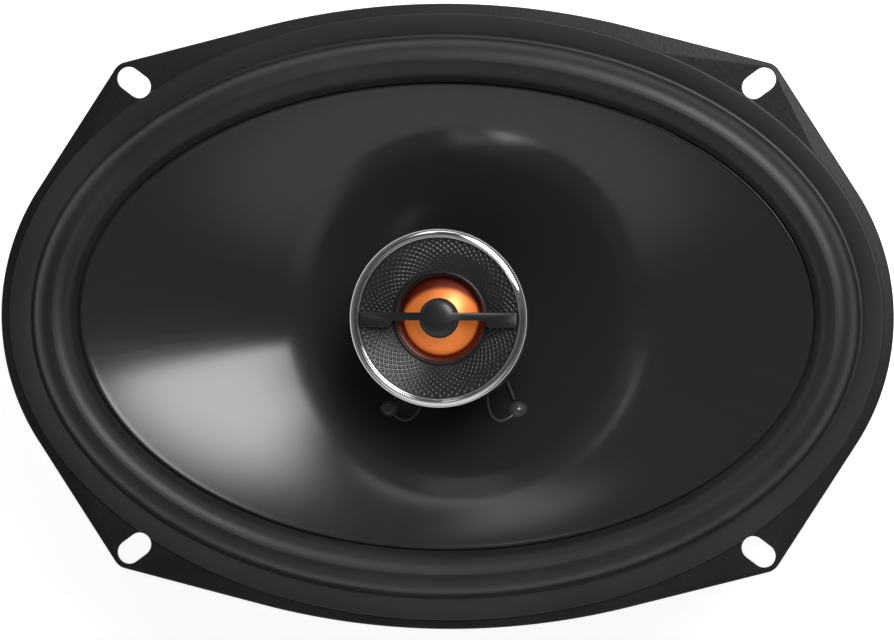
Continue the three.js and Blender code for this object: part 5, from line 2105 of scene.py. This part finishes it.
@dataclass
class Terminals(Assembly):
    """The board on the basket's leg: blades, rivets, the capacitor and its leads."""

    origin: Point = (0.0, -62.598, 57.208)
    tilt: float = 127.9
    length: float = 36.0
    width: float = 14.0
    back: float = 0.4
    thickness: float = 1.8
    metal: float = 0.8
    board_rivet: float = 5.0
    terminal_rivet: float = 15.5
    can_radius: float = 5.0
    can_length: float = 20.0
    lead_radius: float = 0.4

    @property
    def place(self) -> Matrix:
        """The board's own frame, in metres."""
        return shift(*self.origin) @ Matrix.Rotation(math.radians(self.tilt), 4, "X")

    @property
    def front(self) -> float:
        """The height of the board's outer face in its own frame."""
        return self.back + self.thickness

    @property
    def can_centre(self) -> Plan:
        """The capacitor's axis in the board's frame."""
        return -self.width / 2 - 3.4 - self.can_radius, self.can_radius + self.back

    def point(self, x: float, y: float, z: float) -> Vector:
        """A point of the board's frame in the object's, in millimetres."""
        return (self.place @ Vector((x * MM, y * MM, z * MM))) / MM

    def board(self) -> None:
        """Make the board, with its corners and edges rounded."""
        half, deep = self.length / 2, self.width / 2
        board = Bench.block("terminal_board", (-half, -deep, self.back), (half, deep, self.front), 0.0)
        Bench.bevel_edges(board, lambda place, way: abs(way.z) > 0.9, 1.2, 4)
        Bench.bevel_edges(board, lambda place, way: abs(way.z) < 0.1, 0.12, 2)
        Bench.turned_to(board, self.place)
        self.hand_over(board, BOARD, "phenolic_board", ["terminal_board"])

    def blade(self, side: int, width: float, name: str) -> None:
        """Make a push-on blade on its foot.

        Args:
            side: Which end of the board it stands at.
            width: The blade's width.
            name: The piece's name.
        """
        inner, outer, wide = 9.8, 17.4, 2.4
        foot = Bench.block("foot", (inner, -wide, self.front), (outer, wide, self.front + self.metal), 0.0)
        Bench.bevel_edges(foot, lambda place, way: abs(way.z) > 0.9 and place.x > outer - 1, 0.9, 4)
        tip = self.front + 8.5
        low, high = (inner, -width / 2, self.front), (inner + self.metal, width / 2, tip)
        upright = Bench.block("upright", low, high, 0.0)
        Bench.bevel_edges(
            upright, lambda place, way: abs(way.x) > 0.9 and place.z > tip - 0.1, width * 0.22
        )
        Bench.boolean(foot, upright, "UNION")
        pin = Bench.loft("pin", circles((0.75, -3), (0.75, 3)), 20, Ends.CAPPED)
        turned = shift(inner, 0, tip - 3.2) @ Matrix.Rotation(math.pi / 2, 4, "Y")
        Bench.boolean(foot, Bench.turned_to(pin, turned), "DIFFERENCE")
        Bench.bevel_edges(foot, lambda place, way: abs(way.z) < 0.1 and place.z > self.front + 0.5, 0.1, 2)
        foot.name = foot.data.name = name
        spin = Matrix.Rotation(math.pi if side < 0 else 0.0, 4, "Z")
        Bench.turned_to(foot, self.place @ spin)
        self.hand_over(foot, BRASS, "terminal_brass", [name])

    def rivet(self, name: str, x: float, shank: float, head: float, low: float, high: float) -> Piece:
        """Make a rivet headed at both ends.

        Args:
            name: The piece's name.
            x: Its place along the board.
            shank: The shank's radius.
            head: The heads' radius.
            low: The underside of the head behind.
            high: The underside of the head in front.

        Returns:
            The rivet in its place.
        """
        corners = circles(
            (0.3, low - 0.7),
            (head * 0.7, low - 0.62),
            (head, low - 0.2),
            (head, low),
            (shank, low),
            (shank, high),
            (head, high),
            (head, high + 0.2),
            (head * 0.7, high + 0.62),
            (0.3, high + 0.7),
        )
        made = Bench.loft(name, softened(corners, 0.15, 2, Ends.CAPPED), 28, Ends.CAPPED)
        return Bench.turned_to(made, self.place @ shift(x, 0))

    def capacitor(self) -> None:
        """Make the capacitor: a sleeved can, crimped near one end, with leads at both."""
        half, rim = self.can_length / 2, self.can_radius
        corners = circles(
            (0.6, -half),
            (rim - 1.2, -half),
            (rim - 0.9, -half + 0.25),
            (rim - 0.35, -half),
            (rim, -half + 0.4),
            (rim, -half + 2.6),
            (rim - 0.45, -half + 3.2),
            (rim, -half + 3.8),
            (rim, half - 0.4),
            (rim - 0.35, half),
            (rim - 0.9, half - 0.3),
            (0.6, half - 0.3),
        )
        can = Bench.loft("crossover_capacitor", softened(corners, 0.3, 3, Ends.CAPPED), 48, Ends.CAPPED)
        y, z = self.can_centre
        turned = shift(0, y, z) @ Matrix.Rotation(math.pi / 2, 4, "Y")
        Bench.turned_to(can, self.place @ turned)
        self.hand_over(can, SLEEVE, "capacitor_sleeve", ["crossover_capacitor"])

        end, rest = half - 0.2, self.front + self.metal + self.lead_radius
        x = self.terminal_rivet
        left = [
            (-end, y, z),
            (-end - 2.6, y, z),
            (-x + 0.4, y + 3, z - 0.8),
            (-x, -self.width / 2 - 1, rest + 0.6),
            (-x, -2.2, rest),
        ]
        right = [(end, y, z), (end + 2.2, y, z), (end + 4.4, y - 0.8, z + 0.4)]
        for side, path in (("left", left), ("right", right)):
            node = f"capacitor_lead_{side}"
            lead = Bench.wire(node, [self.point(*place) for place in path], self.lead_radius)
            self.hand_over(lead, NICKEL, "nickel", [node], angle=60.0)

    def build(self) -> None:
        """Make the terminals' pieces."""
        self.board()
        self.blade(-1, 4.8, "terminal_positive")
        self.blade(1, 2.8, "terminal_negative")
        top = self.front + self.metal
        for i, side in enumerate((-1, 1)):
            name = f"terminal_rivet_{i + 1}"
            made = self.rivet(name, side * self.terminal_rivet, 0.9, 1.8, self.back, top)
            self.hand_over(made, BRASS, "terminal_brass", [name])
            name = f"board_rivet_{i + 1}"
            made = self.rivet(name, side * self.board_rivet, 1.7, 2.56, -2.52, self.front)
            self.hand_over(made, ZINC, "zinc_steel", [name])
        self.capacitor()


@dataclass
class Wiring(Assembly):
    """The tweeter's two insulated wires and the cone's two braided leads."""

    motor: Motor
    terminals: Terminals
    radius: float = 0.7
    tinsel_radius: float = 0.6
    sag: float = 3.5

    @property
    def outside(self) -> float:
        """Where the wires run up beside the magnet, on Y."""
        return -(self.motor.magnet_radius + self.radius + 1)

    def descent(self, x: float) -> list[Vector]:
        """Lead a wire down the post, along the yoke's groove and up beside the magnet.

        Args:
            x: The wire's place across the groove.

        Returns:
            The points that it passes through.
        """
        yoke, outside = self.motor.yoke_radius, self.outside
        plate = node_heights("top_plate")[0]
        level = self.motor.groove_depth - self.radius - 0.7
        top = node_heights("tweeter_housing")[0] + 1.4
        return [
            Vector((x, 0, top)),
            Vector((x, 0, 50)),
            Vector((x, 0, 20)),
            Vector((x, 0, 5.5)),
            Vector((x, -0.8, 2.9)),
            Vector((x, -5, level)),
            Vector((x, -15, level)),
            Vector((x, 6 - yoke, level)),
            Vector((x, -yoke, level + 0.3)),
            Vector((x, outside + 0.5, 4.0)),
            Vector((x, outside, 9.0)),
            Vector((x + 2, outside - 0.4, plate - 6)),
        ]

    def insulated(self) -> None:
        """Make the tweeter's two wires."""
        board = self.terminals
        half = board.can_length / 2
        y, z = board.can_centre
        rest = board.front + board.metal
        outside = self.outside
        pitch = self.radius * 1.5
        positive = [
            *self.descent(pitch),
            Vector((9, outside - 1.6, 27)),
            board.point(half + 2.6, y - 3.4, z + 3),
            board.point(half + 4, y - 0.8 - 2 * self.radius, z + 0.9),
        ]
        negative = [
            *self.descent(-pitch),
            Vector((8, outside - 4.6, 28)),
            board.point(half + 6, y - 3, z + 4.4),
            board.point(board.terminal_rivet + 1.2, -board.width / 2 - 1.5, rest + 3),
            board.point(board.terminal_rivet + 0.2, -2.8, rest + self.radius + 0.05),
        ]
        for name, path, finish, slot in (
            ("tweeter_wire_positive", positive, RED_WIRE, "red_insulation"),
            ("tweeter_wire_negative", negative, BLACK_WIRE, "black_insulation"),
        ):
            wire = Bench.wire(name, path, self.radius, 3)
            self.hand_over(wire, finish, slot, [name], angle=60.0)

    def braided(self) -> None:
        """Make the two slack leads, which bend between the board and the cone."""
        board = self.terminals
        behind = board.back - 0.75
        for side, sign in (("left", -1), ("right", 1)):
            node = f"tinsel_lead_{side}"
            low, high = node_span(f"lead_eyelet_{side}")
            start = Vector(((low.x + high.x) / 2, (low.y + high.y) / 2, low.z + 0.1))
            below = start - Vector((0, 0, 3))
            end = board.point(sign * board.terminal_rivet, 0, behind)
            approach = board.point(sign * board.terminal_rivet, 0, behind - 3)
            slack = []
            for share in (0.25, 0.5, 0.75):
                place = below.lerp(approach, share)
                place.z -= self.sag * math.sin(math.pi * share)
                slack.append(place)
            lead = Bench.wire(node, [start, below, *slack, approach, end], self.tinsel_radius, 3)
            self.hand_over(lead, TINSEL, "tinsel_braid", [node], None, 60.0)
            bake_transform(lead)

    def build(self) -> None:
        """Make the wiring."""
        self.insulated()
        self.braided()


@dataclass(frozen=True)
class SoftLight:
    """A soft box that hangs over the speaker and faces straight down.

    Its middle and sizes are in metres, its turn about Z in degrees. Each fade is how much of a side's length
    brightens gradually: at the start and the end along its own X, then along its own Y. The taper is how far
    the start of X has moved in by the end of Y.
    """

    name: str
    middle: Point
    size: Plan
    turn: float
    power: float
    fades: tuple[float, float, float, float] = (0.3, 0.3, 0.3, 0.3)
    taper: float = 0.0

    def build(self) -> None:
        """Hang the light."""
        Bench.clear()
        turned = (0.0, 0.0, math.radians(self.turn))
        bpy.ops.object.light_add(type="AREA", location=self.middle, rotation=turned)
        lamp = bpy.context.object
        lamp.name = self.name
        light = lamp.data
        light.shape = "RECTANGLE"
        light.size, light.size_y = self.size
        light.energy = self.power
        lamp.visible_camera = False
        light.use_nodes = True
        graph = Graph(light.node_tree, "ShaderNodeEmission")
        place = graph.node("ShaderNodeNewGeometry", output="Parametric")
        across, up = graph.axis(place, "X"), graph.axis(place, "Y")
        left, right, bottom, top = (max(fade, 1e-4) for fade in self.fades)
        sides = (across - up * self.taper).ramp(0.0, left) * (1 - across).ramp(0.0, right)
        strength = sides * up.ramp(0.0, bottom) * (1 - up).ramp(0.0, top)
        graph.feed("Strength", strength)
        LOG.info("light %s", self.name)


@dataclass
class Studio:
    """The pale floor, the soft lights and the camera.

    Distances are in metres, and the camera's two leans in degrees. The room is brightest along its walls,
    dimmer above their top, and dimmest overhead.
    """

    camera_distance: float = 3.2
    lens: float = 490.0
    lean_x: float = 7.0
    lean_y: float = 1.7
    aim: Point = (0.0004, -0.0009, 0.082)
    sky: float = 0.13
    ceiling: float = 0.06
    walls: float = 1.0
    wall_top: float = 0.42
    ceiling_edge: Plan = (0.6, 0.85)
    floor_size: float = 12.0
    floor_gap: float = 0.0005

    def floor(self) -> None:
        """Lay the floor under the speaker."""
        Bench.clear()
        place = (0.0, 0.0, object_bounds()[0][2] - self.floor_gap)
        bpy.ops.mesh.primitive_grid_add(
            x_subdivisions=4, y_subdivisions=4, size=self.floor_size, location=place
        )
        floor = Bench.named("floor")
        floor.data.materials.append(FLOOR.material())
        floor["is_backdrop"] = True

    def world(self) -> None:
        """Fill the room with dim light, brighter along the walls than overhead."""
        world = bpy.data.worlds.new("room")
        bpy.context.scene.world = world
        world.use_nodes = True
        graph = Graph(world.node_tree, "ShaderNodeBackground")
        graph.shader.inputs["Color"].default_value = (1.0, 1.0, 1.0, 1.0)
        height = graph.axis(graph.node("ShaderNodeTexCoord", output="Generated"), "Z")
        low = 1 - (height * height).ramp(0.0, self.wall_top**2)
        high = height.ramp(*self.ceiling_edge)
        strength = low * (self.walls - self.sky) + high * (self.ceiling - self.sky) + self.sky
        graph.feed("Strength", strength)
        bpy.context.scene.view_settings.view_transform = "Standard"

    def lights(self) -> None:
        """Hang the soft boxes."""
        fades = (0.34, 0.3, 0.04, 0.55)
        SoftLight("key", (0.27, 0.66, 1.08), (0.8, 1.0), 14.0, 29.5, fades, 0.36).build()
        SoftLight("far_fill", (-0.15, 1.05, 1.08), (0.8, 0.8), 0.0, 3.6).build()
        SoftLight("near_fill", (-0.2, -1.2, 1.08), (2.2, 1.8), 0.0, 8.0).build()

    def camera(self) -> None:
        """Set the camera over the speaker, leaning a little to one side."""
        Bench.clear()
        aim = Vector(self.aim)
        slant = [math.tan(math.radians(angle)) for angle in (self.lean_x, self.lean_y)]
        lean = Vector((*slant, 1.0)).normalized()
        up = (Vector((0, 1, 0)) - lean * lean.y).normalized()
        side = up.cross(lean)
        matrix = Matrix((side, up, lean)).transposed().to_4x4()
        matrix.translation = aim + lean * self.camera_distance
        bpy.ops.object.camera_add()
        camera = bpy.context.object
        camera.name = "camera"
        camera.matrix_world = matrix
        camera.data.lens = self.lens
        camera.data.sensor_width = 36.0
        camera.data.clip_end = 30.0
        bpy.context.scene.camera = camera

    def build(self) -> None:
        """Set up the studio."""
        self.camera()
        self.floor()
        self.world()
        self.lights()


def main() -> None:
    """Build the speaker, sub-assembly by sub-assembly, and the studio round it."""
    logging.basicConfig(level=logging.INFO, format="%(name)s: %(message)s")
    plan = oval_plan()
    Studio().build()
    basket = Basket(plan)
    basket.build()
    motor = Motor()
    motor.build()
    woofer = Woofer(plan, basket)
    woofer.build()
    ConeLeads(woofer).build()
    Post().build()
    Tweeter().build()
    terminals = Terminals()
    terminals.build()
    Wiring(motor, terminals).build()
    Bench.clear()


if __name__ == "__main__":
    main()
